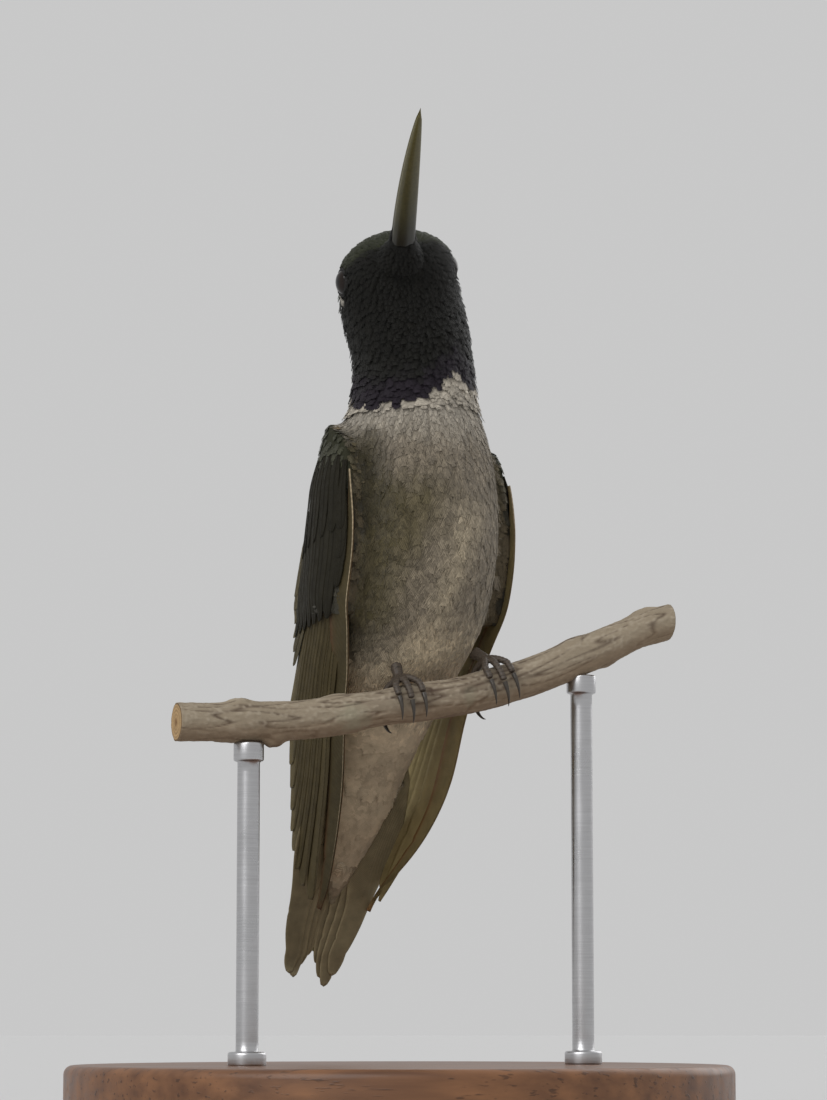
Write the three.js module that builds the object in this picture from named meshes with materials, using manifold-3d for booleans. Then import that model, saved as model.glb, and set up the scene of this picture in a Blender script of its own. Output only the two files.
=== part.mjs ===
// A male black-chinned hummingbird at life size, perched upright on a cut length of twig that a
// plain round stand holds up. Millimetres, +Z up, origin at the middle of the base's underside.
//
// The bird is modelled in its own frame and then turned on the twig: x runs to its left, y to its
// back and z up, from the middle of the trunk. Tables below call y "back".
import * as THREE from "three";
import { mergeVertices } from "three/addons/utils/BufferGeometryUtils.js";
import Module from "manifold-3d";

const wasm = await Module();
wasm.setup();

// ---------------------------------------------------------------- driving dimensions
const BASE_RADIUS = 30;
const BASE_HEIGHT = 6;
const ROD_RADIUS = 1.0;
const BIRD_PLACE = new THREE.Vector3(0.74, 4.0, 54.0); // the trunk's middle, above the base
const BIRD_TURN = 35; // degrees that the body faces to its left of the base's front
const HEAD_TURN = -31; // degrees that the head looks back to the right
const HEAD_ROLL = 14; // degrees that its left side is raised
const HEAD_SHIFT = new THREE.Vector2(-1.4, -0.3); // how far the turn carries the head
const BILL_RAISE = 33; // degrees above the horizontal
const BILL_LENGTH = 18.2;
const TAIL_LENGTH = 26.4;
const TAIL_FORK = 3.9;
const FEATHER_SHEET = 0.6; // thickness of the tail and of the wings' long feathers
const COVERTS_SHEET = 1.2; // thickness of the wings' coverts
const EYE_RADIUS = 1.6;
const PERCH_RADIUS = 1.75;
const PERCH_TURN = 20; // degrees that the twig turns away from the base's front
const PERCH_HEIGHT = 38.9; // the twig's middle line, between the feet
const GAP = 0.12; // between solids that meet

const rad = THREE.MathUtils.degToRad;
const v3 = (x, y, z) => new THREE.Vector3(x, y, z);

// ---------------------------------------------------------------- materials
const finish = (color, roughness, metalness = 0) =>
  new THREE.MeshStandardMaterial({ color, roughness, metalness });
const MATERIALS = {
  black: finish(0x17150f, 0.5),
  gorget: finish(0x1d1420, 0.4),
  breast: finish(0x8f8878, 0.9),
  coverts: finish(0x8a7f6c, 0.9),
  wing: finish(0x37332a, 0.6),
  tail: finish(0x2c2822, 0.55),
  bill: finish(0x1c1b17, 0.35),
  eye: finish(0x0b0908, 0.1),
  leg: finish(0x2b2622, 0.6),
  claw: finish(0x121110, 0.4),
  twig: finish(0x85796b, 0.95),
  wood: finish(0x3a2415, 0.45),
  steel: finish(0x2a2a2b, 0.35, 0.9),
};

// ---------------------------------------------------------------- meshes and solids
// The band of faces that joins each ring of `count` points to the next.
function ringFaces(ringCount, count) {
  const faces = [];
  for (let i = 0; i < ringCount - 1; i++)
    for (let k = 0; k < count; k++) {
      const a = i * count + k;
      const b = i * count + ((k + 1) % count);
      faces.push(a, b, b + count, a, b + count, a + count);
    }
  return faces;
}

// A closed mesh from rings of the same number of points, with a fan over each end.
function loft(rings) {
  const count = rings[0].length;
  const points = rings.flat();
  const faces = ringFaces(rings.length, count);
  const cap = (first, flipped) => {
    const ring = points.slice(first, first + count);
    const middle = ring.reduce((sum, p) => sum.add(p), v3(0, 0, 0)).divideScalar(count);
    points.push(middle);
    for (let k = 0; k < count; k++) {
      const pair = [first + k, first + ((k + 1) % count)];
      faces.push(points.length - 1, ...(flipped ? pair.reverse() : pair));
    }
  };
  cap(0, true);
  cap((rings.length - 1) * count, false);
  return closedMesh(points, faces);
}

// Points and faces as a geometry whose faces point out.
function closedMesh(points, faces) {
  const signed = faces.reduce((sum, _, i) => {
    if (i % 3) return sum;
    const [a, b, c] = [points[faces[i]], points[faces[i + 1]], points[faces[i + 2]]];
    return sum + a.dot(v3().crossVectors(b, c));
  }, 0);
  if (signed < 0) faces.reverse();
  const geometry = new THREE.BufferGeometry().setFromPoints(points);
  return geometry.setIndex(faces);
}

// A sheet with thickness: rows of outer points over rows of inner points, closed round its rim.
function thickSheet(outer, inner) {
  const ring = 2 * outer[0].length;
  const points = outer.flatMap((row, i) => [...row, ...inner[i].slice().reverse()]);
  const faces = ringFaces(outer.length, ring);
  const end = (first, flipped) => {
    for (let k = 0; k < ring / 2 - 1; k++) {
      const [a, b] = [first + k, first + k + 1];
      const [c, d] = [first + ring - 2 - k, first + ring - 1 - k];
      const quad = [a, c, b, a, d, c];
      faces.push(...(flipped ? quad.reverse() : quad));
    }
  };
  end(0, false);
  end((outer.length - 1) * ring, true);
  return closedMesh(points, faces);
}

// A round tube of changing radius along a curve.
function taperedTube(curve, steps, sides, radiusAt) {
  const frames = curve.computeFrenetFrames(steps, false);
  const rings = Array.from({ length: steps + 1 }, (_, i) => {
    const middle = curve.getPointAt(i / steps);
    return Array.from({ length: sides }, (_, k) => {
      const a = (2 * Math.PI * k) / sides;
      return middle
        .clone()
        .addScaledVector(frames.normals[i], radiusAt(i / steps) * Math.cos(a))
        .addScaledVector(frames.binormals[i], radiusAt(i / steps) * Math.sin(a));
    });
  });
  return loft(rings);
}

function toSolid(geometry) {
  const plain = geometry.index ? geometry.toNonIndexed() : geometry.clone();
  plain.deleteAttribute("normal");
  plain.deleteAttribute("uv");
  const merged = mergeVertices(plain, 1e-4);
  return new wasm.Manifold(
    new wasm.Mesh({
      numProp: 3,
      vertProperties: merged.attributes.position.array,
      triVerts: new Uint32Array(merged.index.array),
    }),
  );
}

function toGeometry(solid) {
  const mesh = solid.getMesh();
  return new THREE.BufferGeometry()
    .setAttribute("position", new THREE.BufferAttribute(mesh.vertProperties, 3))
    .setIndex(new THREE.BufferAttribute(mesh.triVerts, 1));
}

const cut = (geometry, ...cutters) =>
  toGeometry(cutters.reduce((left, c) => left.subtract(toSolid(c)), toSolid(geometry)));
const join = (geometries) =>
  toGeometry(geometries.map(toSolid).reduce((sum, next) => sum.add(next)));

// Smooth values between the rows of a table, by row number.
function between(rows, s) {
  const last = rows.length - 1;
  const i = Math.min(Math.floor(s), last - 1);
  const t = s - i;
  const row = (k) => rows[Math.min(Math.max(k, 0), last)];
  return rows[0].map((_, c) => {
    const [p, a, b, q] = [row(i - 1)[c], row(i)[c], row(i + 1)[c], row(i + 2)[c]];
    const [m, n] = [(b - p) / 2, (q - a) / 2];
    return (
      a * (2 * t ** 3 - 3 * t ** 2 + 1) +
      m * (t ** 3 - 2 * t ** 2 + t) +
      b * (3 * t ** 2 - 2 * t ** 3) +
      n * (t ** 3 - t ** 2)
    );
  });
}

const spread = (from, to, count) =>
  Array.from({ length: count + 1 }, (_, i) => from + ((to - from) * i) / count);

// ---------------------------------------------------------------- flesh: trunk, neck and head
// Each row is one ring of the body's outline, from the vent up to the bill's root.
// front back, front up, rear back, rear up, half width, turn (0 body to 1 head)
const BODY = [
  [5.7, -23.4, 9.4, -21.5, 5.0, 0], // vent
  [1.8, -18.6, 8.5, -17.6, 5.9, 0], // rump
  [-2.9, -13.2, 8.8, -13.2, 7.5, 0], // belly, over the perch
  [-7.3, -8.0, 8.5, -8.0, 8.15, 0],
  [-9.4, -2.0, 8.2, -2.0, 8.4, 0], // the widest
  [-9.6, 4.0, 7.6, 4.0, 8.25, 0], // breast
  [-8.5, 9.0, 6.5, 9.0, 7.5, 0], // shoulders
  [-7.3, 12.8, 5.2, 12.8, 6.2, 0], // the gorget's lower edge
  [-6.95, 15.3, 4.3, 17.2, 5.85, 0.4],
  [-6.8, 17.4, 3.5, 20.9, 5.8, 0.75], // nape
  [-6.9, 19.2, 2.3, 24.4, 5.8, 0.95],
  [-7.2, 20.8, 0.3, 26.8, 5.75, 1], // the eyes
  [-7.6, 22.1, -2.6, 28.2, 5.2, 1], // forehead
  [-8.2, 23.4, -5.4, 28.0, 3.6, 1], // lores
  [-9.05, 24.2, -8.05, 26.1, 1.25, 1], // the bill's root
];
const NECK_BASE = 7; // where the trunk ends and the neck begins, by row
const HEAD_BASE = 8.6; // where the neck ends and the head begins
const CUT = 0.02; // half the cut between them, in rows
const RING_POINTS = 24;
const WIDEST = 0.52; // share of a ring's depth, from the front, where it is widest

// The head's middle and the bill's line, as [back, up].
const HEAD_MIDDLE = [-2.5, 22.2];
const ahead = [-Math.cos(rad(BILL_RAISE)), Math.sin(rad(BILL_RAISE))];
const above = [Math.sin(rad(BILL_RAISE)), Math.cos(rad(BILL_RAISE))];

// Where a point of the neck or head goes when the head rolls about the bill's line and turns.
function turned(flatBack, flatUp, flatSide, turn) {
  const [toBack, toUp] = [flatBack - HEAD_MIDDLE[0], flatUp - HEAD_MIDDLE[1]];
  const along = toBack * ahead[0] + toUp * ahead[1];
  const flatOver = toBack * above[0] + toUp * above[1];
  const roll = rad(HEAD_ROLL) * turn;
  const over = flatOver * Math.cos(roll) + flatSide * Math.sin(roll);
  const side = flatSide * Math.cos(roll) - flatOver * Math.sin(roll);
  const back = HEAD_MIDDLE[0] + ahead[0] * along + above[0] * over;
  const up = HEAD_MIDDLE[1] + ahead[1] * along + above[1] * over;
  const angle = rad(HEAD_TURN) * turn;
  return v3(
    HEAD_SHIFT.x * turn - back * Math.sin(angle) + side * Math.cos(angle),
    HEAD_SHIFT.y * turn + back * Math.cos(angle) + side * Math.sin(angle),
    up,
  );
}

function bodyRing(s, grow = 0) {
  const [frontBack, frontUp, rearBack, rearUp, halfWidth, turn] = between(BODY, s);
  const middle = [
    frontBack + (rearBack - frontBack) * WIDEST,
    frontUp + (rearUp - frontUp) * WIDEST,
  ];
  return Array.from({ length: RING_POINTS }, (_, k) => {
    const a = (2 * Math.PI * k) / RING_POINTS;
    const toFront = Math.cos(a) > 0;
    const edge = toFront ? [frontBack, frontUp] : [rearBack, rearUp];
    const depth = Math.hypot(edge[0] - middle[0], edge[1] - middle[1]);
    const reach = Math.abs(Math.cos(a)) * (1 + grow / depth);
    const back = middle[0] + (edge[0] - middle[0]) * reach;
    const up = middle[1] + (edge[1] - middle[1]) * reach;
    return turned(back, up, Math.sin(a) * (halfWidth + grow), Math.min(Math.max(turn, 0), 1));
  });
}

const bodyLoft = (from, to, count, grow = 0) =>
  loft(spread(from, to, count).map((s) => bodyRing(s, grow)));

// The trunk's half width at a place, or 0 outside it.
function trunkHalfWidth(back, up) {
  let [low, high] = [0, NECK_BASE];
  for (let i = 0; i < 24; i++) {
    const s = (low + high) / 2;
    const [, frontUp, , rearUp] = between(BODY, s);
    if ((frontUp + rearUp) / 2 < up) low = s;
    else high = s;
  }
  const [front, , rear, , halfWidth] = between(BODY, low);
  const middle = front + (rear - front) * WIDEST;
  const share = (back - middle) / (back < middle ? middle - front : rear - middle);
  return Math.abs(share) < 1 && up > BODY[0][1] ? halfWidth * Math.sqrt(1 - share ** 2) : 0;
}

// ---------------------------------------------------------------- bill
const BILL_ROOT = [(BODY.at(-1)[0] + BODY.at(-1)[2]) / 2, (BODY.at(-1)[1] + BODY.at(-1)[3]) / 2];
// A point by its distance along the bill's line, above it and to the left of it.
const byBill = (along, over, side = 0) =>
  turned(
    BILL_ROOT[0] + ahead[0] * along + above[0] * over,
    BILL_ROOT[1] + ahead[1] * along + above[1] * over,
    side,
    1,
  );

const BILL_DROOP = 0.9; // how far the tip curves down
const BILL_SEAM = 0.05; // half the slit between the mandibles
const BILL_HALF_WIDTH = 1.1; // at the root
const BILL_BOW = 0.38; // how far its root lies to the right of its tip
const UPPER_HEIGHT = 0.88;
const LOWER_HEIGHT = 0.7;
const billTaper = (t) => 0.06 + 0.94 * (1 - t ** 1.8) ** 0.8;

// One mandible: a half round bar from the root to share `reach` of the bill. A height above 0
// makes the upper one, and one below 0 the lower one.
function mandible(height, reach) {
  const arc = spread(0, Math.PI, 6);
  const rings = spread(0, reach, 10).map((t) =>
    arc.map((a) => {
      const over = height * billTaper(t) * Math.sin(a) + Math.sign(height) * BILL_SEAM;
      const side = BILL_HALF_WIDTH * billTaper(t) * Math.cos(a) - BILL_BOW * (1 - t ** 2);
      return byBill(GAP + t * BILL_LENGTH, over - BILL_DROOP * t ** 2, side);
    }),
  );
  return loft(rings);
}

// ---------------------------------------------------------------- eyes
const EYE_BEHIND_BILL = 4.9;
const EYE_ABOVE_BILL = 1.95;
const EYE_SIDE = 4.2;

function eyeball(side, radius) {
  const at = byBill(-EYE_BEHIND_BILL, EYE_ABOVE_BILL, side * EYE_SIDE);
  return new THREE.SphereGeometry(radius, 14, 8).translate(at.x, at.y, at.z);
}

// ---------------------------------------------------------------- tail and its coverts
const TAIL_ROOT = [4.9, -16.5]; // back, up
const TAIL_SLOPE = 62.8; // degrees below the horizontal
const TAIL_ROLL = 8; // degrees that the tail's left side drops
const TAIL_ARCH = 0.022; // drop of its sides per mm squared
const TAIL_SKEW = 0.6; // how much longer the left edge is, and shorter the right
const TAIL_TIP = 0.75; // share of the half width where the fork's tips are
const TAIL_CORNER = 4.5; // how much shorter its outer edges are than the tips
const tailAway = [Math.cos(rad(TAIL_SLOPE)), -Math.sin(rad(TAIL_SLOPE))];
const tailOver = [Math.sin(rad(TAIL_SLOPE)), Math.cos(rad(TAIL_SLOPE))];

function tailPoint(side, along, over) {
  const roll = rad(TAIL_ROLL) * Math.min(along / TAIL_LENGTH, 1);
  const across = side * Math.cos(roll) + over * Math.sin(roll);
  const lift = over * Math.cos(roll) - side * Math.sin(roll) - TAIL_ARCH * side ** 2;
  return v3(
    across,
    TAIL_ROOT[0] + tailAway[0] * along + tailOver[0] * lift,
    TAIL_ROOT[1] + tailAway[1] * along + tailOver[1] * lift,
  );
}

// Half widths from its root to its end, evenly spaced.
const TAIL_WIDTHS = [[2.2], [3.5], [4.1], [4.3], [4.3], [4.2], [3.5], [2.7]];
const tailHalfWidth = (t) => between(TAIL_WIDTHS, t * (TAIL_WIDTHS.length - 1))[0];
// The tail's length at a share of its half width, longest at the tips of the fork.
function tailReach(share) {
  const inner = TAIL_FORK * (1 - Math.min(Math.abs(share) / TAIL_TIP, 1)) ** 1.1;
  const outer = TAIL_CORNER * Math.max((Math.abs(share) - TAIL_TIP) / (1 - TAIL_TIP), 0) ** 1.5;
  return TAIL_LENGTH - inner - outer + TAIL_SKEW * share;
}

function tailPlate(grow = 0) {
  const half = FEATHER_SHEET / 2 + grow;
  const rows = spread(0, 1, 10).map((u) =>
    spread(-1, 1, 14).map((share) => {
      const along = u * (tailReach(share) + grow) - grow * (1 - u);
      return [share * (tailHalfWidth(along / TAIL_LENGTH) + grow), along];
    }),
  );
  const sheet = (over) => rows.map((row) => row.map(([s, along]) => tailPoint(s, along, over)));
  return thickSheet(sheet(half), sheet(-half));
}

// A wedge of soft feathers that lies along the tail: over it (side 1) or under it (side -1).
function covertsWedge(side, rows) {
  const rings = spread(0, rows.length - 1, 8).map((s) => {
    const [along, halfWidth, thick] = between(rows, s);
    return Array.from({ length: 14 }, (_, k) => {
      const a = (2 * Math.PI * k) / 14;
      const rise = Math.sin(a) > 0 ? thick * Math.sin(a) : GAP * Math.sin(a);
      const clear = FEATHER_SHEET / 2 + 2 * GAP;
      return tailPoint(halfWidth * Math.cos(a), along, side * (clear + rise));
    });
  });
  return loft(rings);
}
// along, half width, thickness
const UNDER_COVERTS = [
  [6.85, 4.3, 1.9],
  [10.5, 3.3, 1.6],
  [14.0, 2.3, 1.2],
  [17.0, 1.3, 0.9],
  [18.8, 0.5, 0.45],
];
const UPPER_COVERTS = [
  [6.85, 4.0, 1.2],
  [9.0, 3.4, 1.0],
  [11.5, 2.2, 0.8],
  [13.2, 0.5, 0.4],
];

// ---------------------------------------------------------------- wings
// The folded wing's edges from the shoulder down to the tip.
// up, lead back, trail back, lead side, trail side, bulge
const WING = [
  [10.7, 1.4, 2.4, 6.8, 6.7, 0.0], // shoulder
  [9.3, -2.2, 4.0, 7.3, 6.4, 0.4],
  [7.0, -3.3, 6.0, 7.9, 6.3, 1.0], // wrist
  [0.0, -4.2, 7.7, 9.1, 6.3, 1.4],
  [-7.5, -2.4, 8.7, 8.35, 6.9, 1.0],
  [-15.0, 0.5, 9.3, 7.2, 7.1, 0.7],
  [-22.5, 1.9, 10.2, 6.3, 6.5, 0.4],
  [-29.0, 4.7, 12.0, 5.0, 5.4, 0.2],
  [-32.6, 8.0, 12.4, 3.6, 5.1, 0.1],
  [-33.9, 10.2, 12.2, 3.6, 4.8, 0.0], // tip
];
const WING_TIP = WING.length - 1;
const COVERTS_END = 4; // row where the coverts give way to the long feathers
const FEATHER_STEPS = 13; // long feathers that step down the trailing edge
const FEATHER_STEP = 0.5; // how far each one's tip stands out
const WING_SLANT = 1.1; // how much higher a row is at the trailing edge

// One stretch of a wing, from row `from` to row `to` of the table. side is 1 for the left wing.
function wingSheet(side, from, to, count, thickness, step) {
  const outline = spread(from, to, count).map((s) => {
    const [up, lead, trail, leadSide, trailSide, bulge] = between(WING, s);
    const fromTip = (WING_TIP - s) / (WING_TIP - COVERTS_END);
    const tooth = step * (0.5 - ((fromTip * FEATHER_STEPS) % 1)) * Math.min(fromTip * 3, 1);
    const slant = WING_SLANT * Math.min(1, 2 * s, 0.3 + 2 * (WING_TIP - s));
    return spread(0, 1, 6).map((t) => ({
      back: lead + (trail - lead + tooth) * t,
      up: up + slant * (t - 0.5),
      out: leadSide + (trailSide - leadSide) * t + bulge * 4 * t * (1 - t),
    }));
  });
  const surface = (depth) =>
    outline.map((row) =>
      row.map(({ back, up, out }) => {
        const rest = trunkHalfWidth(back, up);
        const inner = rest > 0 ? Math.max(out - thickness, rest + 2 * GAP) : out - thickness;
        return v3(side * (inner + depth), back, up);
      }),
    );
  return thickSheet(surface(thickness), surface(0));
}
const wingCoverts = (side) => wingSheet(side, 0, COVERTS_END - CUT, 10, COVERTS_SHEET, 0);
const wingFeathers = (side) =>
  wingSheet(side, COVERTS_END + CUT, WING_TIP, 26, FEATHER_SHEET, FEATHER_STEP);

// ---------------------------------------------------------------- twig
// The twig's middle line, in its own frame: along, up from the place between the feet.
const TWIG_LINE = [
  [-25.2, -2.85],
  [-18.0, -2.6],
  [-12.0, -2.15],
  [-6.6, -1.1],
  [0.0, 0.0],
  [4.3, 1.0],
  [8.9, 2.5],
  [15.0, 5.0],
  [21.6, 8.2],
];
const TWIG_MIDDLE = v3(4.02, -0.28, PERCH_HEIGHT);
const twigAlong = v3(Math.cos(rad(PERCH_TURN)), Math.sin(rad(PERCH_TURN)), 0);
const twigPoint = (along, up) =>
  TWIG_MIDDLE.clone().addScaledVector(twigAlong, along).add(v3(0, 0, up));
const twigCurve = new THREE.CatmullRomCurve3(TWIG_LINE.map(([a, up]) => twigPoint(a, up)));
// Thicker where the bird sits and at three knots: share of the length, spread, rise.
const TWIG_SWELLS = [
  [0.13, 0.03, 0.22],
  [0.3, 0.05, 0.12],
  [0.62, 0.16, 0.28],
  [0.86, 0.03, 0.2],
];
const twigRadius = (t) =>
  TWIG_SWELLS.reduce(
    (r, [at, width, rise]) => r + rise * Math.exp(-(((t - at) / width) ** 2)),
    PERCH_RADIUS,
  );
const twigTube = (grow = 0) => taperedTube(twigCurve, 26, 14, (t) => twigRadius(t) + grow);

// The share of the twig's length nearest to a distance along it.
function twigShareAt(along) {
  const shares = spread(0, 1, 400);
  const off = (t) =>
    Math.abs(twigCurve.getPointAt(t).sub(TWIG_MIDDLE).dot(twigAlong) - along);
  return shares.reduce((best, t) => (off(t) < off(best) ? t : best));
}

// ---------------------------------------------------------------- legs
const TOE_RADIUS = 0.34;
// Where each toe lies along the twig, from the foot's middle, and how many degrees round the twig,
// from its top, it reaches: to the front, or behind for the hind toe.
const TOES = [
  { name: "inner", place: -1.15, to: 66 },
  { name: "middle", place: 0, to: 78 },
  { name: "outer", place: 1.15, to: 66 },
  { name: "hind", place: -1.5, to: -112 },
];
const CLAW_TURN = 55; // degrees round the twig that a claw covers
const CLAW_SPACE = 5; // degrees between a toe's end and its claw
const CLAW_ARCH = 0.3; // how far a claw bows away from the twig
const ANKLE_ANGLE = -8; // degrees, behind the twig's top
const ANKLE_RISE = 0.25; // how far the toes' roots stand above the twig
const SHANK_RADIUS = 0.42; // at the ankle
const SHANK_FLARE = 0.45; // how much thicker the shank is inside the belly
// Where each foot is along the twig, and where its shank ends inside the belly.
const FEET = [
  { name: "right", along: -3.8, knee: v3(-2.9, -1.2, -9.4) },
  { name: "left", along: 5.0, knee: v3(4.3, -1.4, -9.4) },
];

// A place round the twig: degrees from its top towards the front, and out from its skin.
function roundTwig(along, degrees, out) {
  const t = twigShareAt(along);
  const line = twigCurve.getTangentAt(t);
  const front = v3().crossVectors(v3(0, 0, 1), line).normalize().negate();
  const top = v3().crossVectors(line, front).normalize().negate();
  const reach = twigRadius(t) + out;
  return twigCurve
    .getPointAt(t)
    .addScaledVector(top, reach * Math.cos(rad(degrees)))
    .addScaledVector(front, reach * Math.sin(rad(degrees)));
}

function toeParts(foot, toe) {
  const way = Math.sign(toe.to);
  const out = TOE_RADIUS + GAP;
  const toePath = spread(0, 1, 7).map((t) => {
    const degrees = ANKLE_ANGLE + (toe.to - ANKLE_ANGLE) * t;
    const place = foot.along + toe.place * Math.min(1, t * 1.6);
    return roundTwig(place, degrees, out + ANKLE_RISE * (1 - t) ** 2);
  });
  const clawPath = spread(0, 1, 5).map((t) => {
    const degrees = toe.to + way * (CLAW_SPACE + CLAW_TURN * t);
    return roundTwig(foot.along + toe.place, degrees, out + CLAW_ARCH * t * (1 - t) + GAP * t);
  });
  const toeCurve = new THREE.CatmullRomCurve3(toePath);
  const clawCurve = new THREE.CatmullRomCurve3(clawPath);
  return {
    name: toe.name,
    toe: taperedTube(toeCurve, 6, 7, (t) => TOE_RADIUS * (1 - 0.15 * t)),
    claw: taperedTube(clawCurve, 5, 6, (t) => TOE_RADIUS * (0.78 - 0.64 * t)),
  };
}

// ---------------------------------------------------------------- the model
const model = new THREE.Group();
const bird = new THREE.Group();
bird.position.copy(BIRD_PLACE);
bird.rotation.z = rad(BIRD_TURN);
model.add(bird);
bird.updateMatrixWorld(true);

function addMesh(parent, name, geometry, material) {
  const mesh = new THREE.Mesh(geometry, MATERIALS[material]);
  mesh.name = name;
  parent.add(mesh);
}

const SIDES = [
  ["left", 1],
  ["right", -1],
];

const trunk = cut(bodyLoft(0, NECK_BASE - CUT, 16), tailPlate(GAP));
addMesh(bird, "trunk", trunk, "breast");
addMesh(bird, "neck", bodyLoft(NECK_BASE + CUT, HEAD_BASE - CUT, 4), "gorget");
const sockets = SIDES.map(([, side]) => eyeball(side, EYE_RADIUS + GAP));
addMesh(bird, "head", cut(bodyLoft(HEAD_BASE + CUT, BODY.length - 1, 13), ...sockets), "black");
addMesh(bird, "bill_upper", mandible(UPPER_HEIGHT, 1), "bill");
addMesh(bird, "bill_lower", mandible(-LOWER_HEIGHT, 0.985), "bill");
SIDES.forEach(([name, side]) => {
  addMesh(bird, `eye_${name}`, eyeball(side, EYE_RADIUS), "eye");
  addMesh(bird, `wing_${name}_coverts`, wingCoverts(side), "wing");
  addMesh(bird, `wing_${name}_feathers`, wingFeathers(side), "wing");
});
addMesh(bird, "tail", tailPlate(), "tail");
addMesh(bird, "undertail_coverts", covertsWedge(-1, UNDER_COVERTS), "coverts");
addMesh(bird, "uppertail_coverts", covertsWedge(1, UPPER_COVERTS), "coverts");

// The legs are made in the base's frame, where the twig is, and end against the belly.
const belly = bodyLoft(0, NECK_BASE - CUT, 16, GAP).applyMatrix4(bird.matrixWorld);
FEET.forEach((foot) => {
  const parts = TOES.map((toe) => toeParts(foot, toe));
  const ankle = roundTwig(foot.along, ANKLE_ANGLE, TOE_RADIUS + GAP + ANKLE_RISE);
  const shankLine = new THREE.LineCurve3(ankle, bird.localToWorld(foot.knee.clone()));
  const shank = taperedTube(shankLine, 3, 8, (t) => SHANK_RADIUS + SHANK_FLARE * t);
  const leg = cut(join([shank, ...parts.map((p) => p.toe)]), belly);
  addMesh(model, `leg_${foot.name}`, leg, "leg");
  parts.forEach((p) => addMesh(model, `claw_${foot.name}_${p.name}`, p.claw, "claw"));
});

addMesh(model, "perch", twigTube(), "twig");

// ---------------------------------------------------------------- stand
const EDGE = 0.8; // rounding of the base's edges
const corner = (radius, height, from) =>
  spread(0, 1, 3).map((t) => {
    const a = rad(from + 90 * t);
    return new THREE.Vector2(radius + EDGE * Math.cos(a), height + EDGE * Math.sin(a));
  });
const baseProfile = [
  new THREE.Vector2(0, 0),
  ...corner(BASE_RADIUS - EDGE, EDGE, -90),
  ...corner(BASE_RADIUS - EDGE, BASE_HEIGHT - EDGE, 0),
  new THREE.Vector2(0, BASE_HEIGHT),
];
const base = new THREE.LatheGeometry(baseProfile, 40).rotateX(Math.PI / 2);
addMesh(model, "stand_base", base, "wood");

// Each rod stands on the base under the twig's low or high end, hollowed on top to seat the twig.
const RODS = [
  { name: "low", along: -18.5 },
  { name: "high", along: 13.5 },
];
RODS.forEach(({ name, along }) => {
  const top = twigCurve.getPointAt(twigShareAt(along));
  const foot = BASE_HEIGHT + GAP;
  const rod = new THREE.CylinderGeometry(ROD_RADIUS, ROD_RADIUS, top.z - foot, 16)
    .rotateX(Math.PI / 2)
    .translate(top.x, top.y, (top.z + foot) / 2);
  addMesh(model, `stand_rod_${name}`, cut(rod, twigTube(GAP)), "steel");
});

export default model;
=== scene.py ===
"""The looks of a life-size male black-chinned hummingbird on a twig over a plain stand.

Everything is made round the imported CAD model: one skin for the flesh, a coat of small feathers over
it, the long feathers of the wings and tail, and finer bills, eyes, feet, bark and stand. Points are
numpy arrays in millimetres, in the part's frame, until new_object() writes them in metres.
"""

import math
from dataclasses import dataclass, replace

import bmesh
import bpy
import numpy as np
from mathutils import Matrix, Vector, noise
from mathutils.bvhtree import BVHTree
from mathutils.kdtree import KDTree


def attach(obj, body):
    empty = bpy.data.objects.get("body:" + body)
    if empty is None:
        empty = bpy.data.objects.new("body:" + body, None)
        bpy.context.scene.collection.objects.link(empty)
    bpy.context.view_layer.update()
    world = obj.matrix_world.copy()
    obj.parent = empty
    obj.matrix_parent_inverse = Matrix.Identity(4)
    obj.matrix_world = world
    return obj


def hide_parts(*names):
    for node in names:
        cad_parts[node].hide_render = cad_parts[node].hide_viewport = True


MM = 0.001
SIDES = {"left": 1, "right": -1}
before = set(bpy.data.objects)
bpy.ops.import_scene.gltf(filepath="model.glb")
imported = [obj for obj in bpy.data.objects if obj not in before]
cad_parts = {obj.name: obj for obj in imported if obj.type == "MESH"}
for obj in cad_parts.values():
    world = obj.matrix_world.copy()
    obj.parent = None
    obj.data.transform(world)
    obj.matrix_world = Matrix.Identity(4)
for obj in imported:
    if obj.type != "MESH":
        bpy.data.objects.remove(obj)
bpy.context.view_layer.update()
random = np.random.default_rng(11)


# ---------------------------------------------------------------- points and meshes
def unit(vectors):
    """Vectors of length 1, the same way."""
    return vectors / np.maximum(np.linalg.norm(vectors, axis=-1, keepdims=True), 1e-12)


def smoothstep(low, high, value):
    """0 below low, 1 above high, and a smooth rise between. low may be the larger."""
    t = np.clip((value - low) / (high - low), 0, 1)
    return t * t * (3 - 2 * t)


def mix(a, b, share):
    """a turned to b by share."""
    return a + (b - a) * share


def blend(a, b, share):
    """mix for rows of colours or points, with one share to the row."""
    return a + (b - a) * share[..., None]


def circle(count):
    """That many angles, evenly round a circle."""
    return np.linspace(0, 2 * math.pi, count + 1)[:-1]


def node_mesh(name):
    """A CAD node's welded points and its faces."""
    mesh = bmesh.new()
    mesh.from_mesh(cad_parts[name].data)
    mesh.transform(Matrix.Scale(1 / MM, 4))
    bmesh.ops.remove_doubles(mesh, verts=mesh.verts, dist=1e-3)
    points = np.array([v.co for v in mesh.verts])
    faces = np.array([[v.index for v in f.verts] for f in mesh.faces])
    mesh.free()
    return points, faces


def tree_of(points, faces):
    """A tree that finds the nearest point of a mesh, or where a ray meets it."""
    return BVHTree.FromPolygons([Vector(p) for p in points], [list(map(int, f)) for f in faces])


def read_mesh(mesh):
    """A Blender mesh's points and its triangles."""
    points = np.empty(3 * len(mesh.vertices), np.float32)
    mesh.vertices.foreach_get("co", points)
    mesh.calc_loop_triangles()
    triangles = np.empty(3 * len(mesh.loop_triangles), np.int32)
    mesh.loop_triangles.foreach_get("vertices", triangles)
    return points.reshape(-1, 3).astype(float), triangles.reshape(-1, 3)


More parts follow.
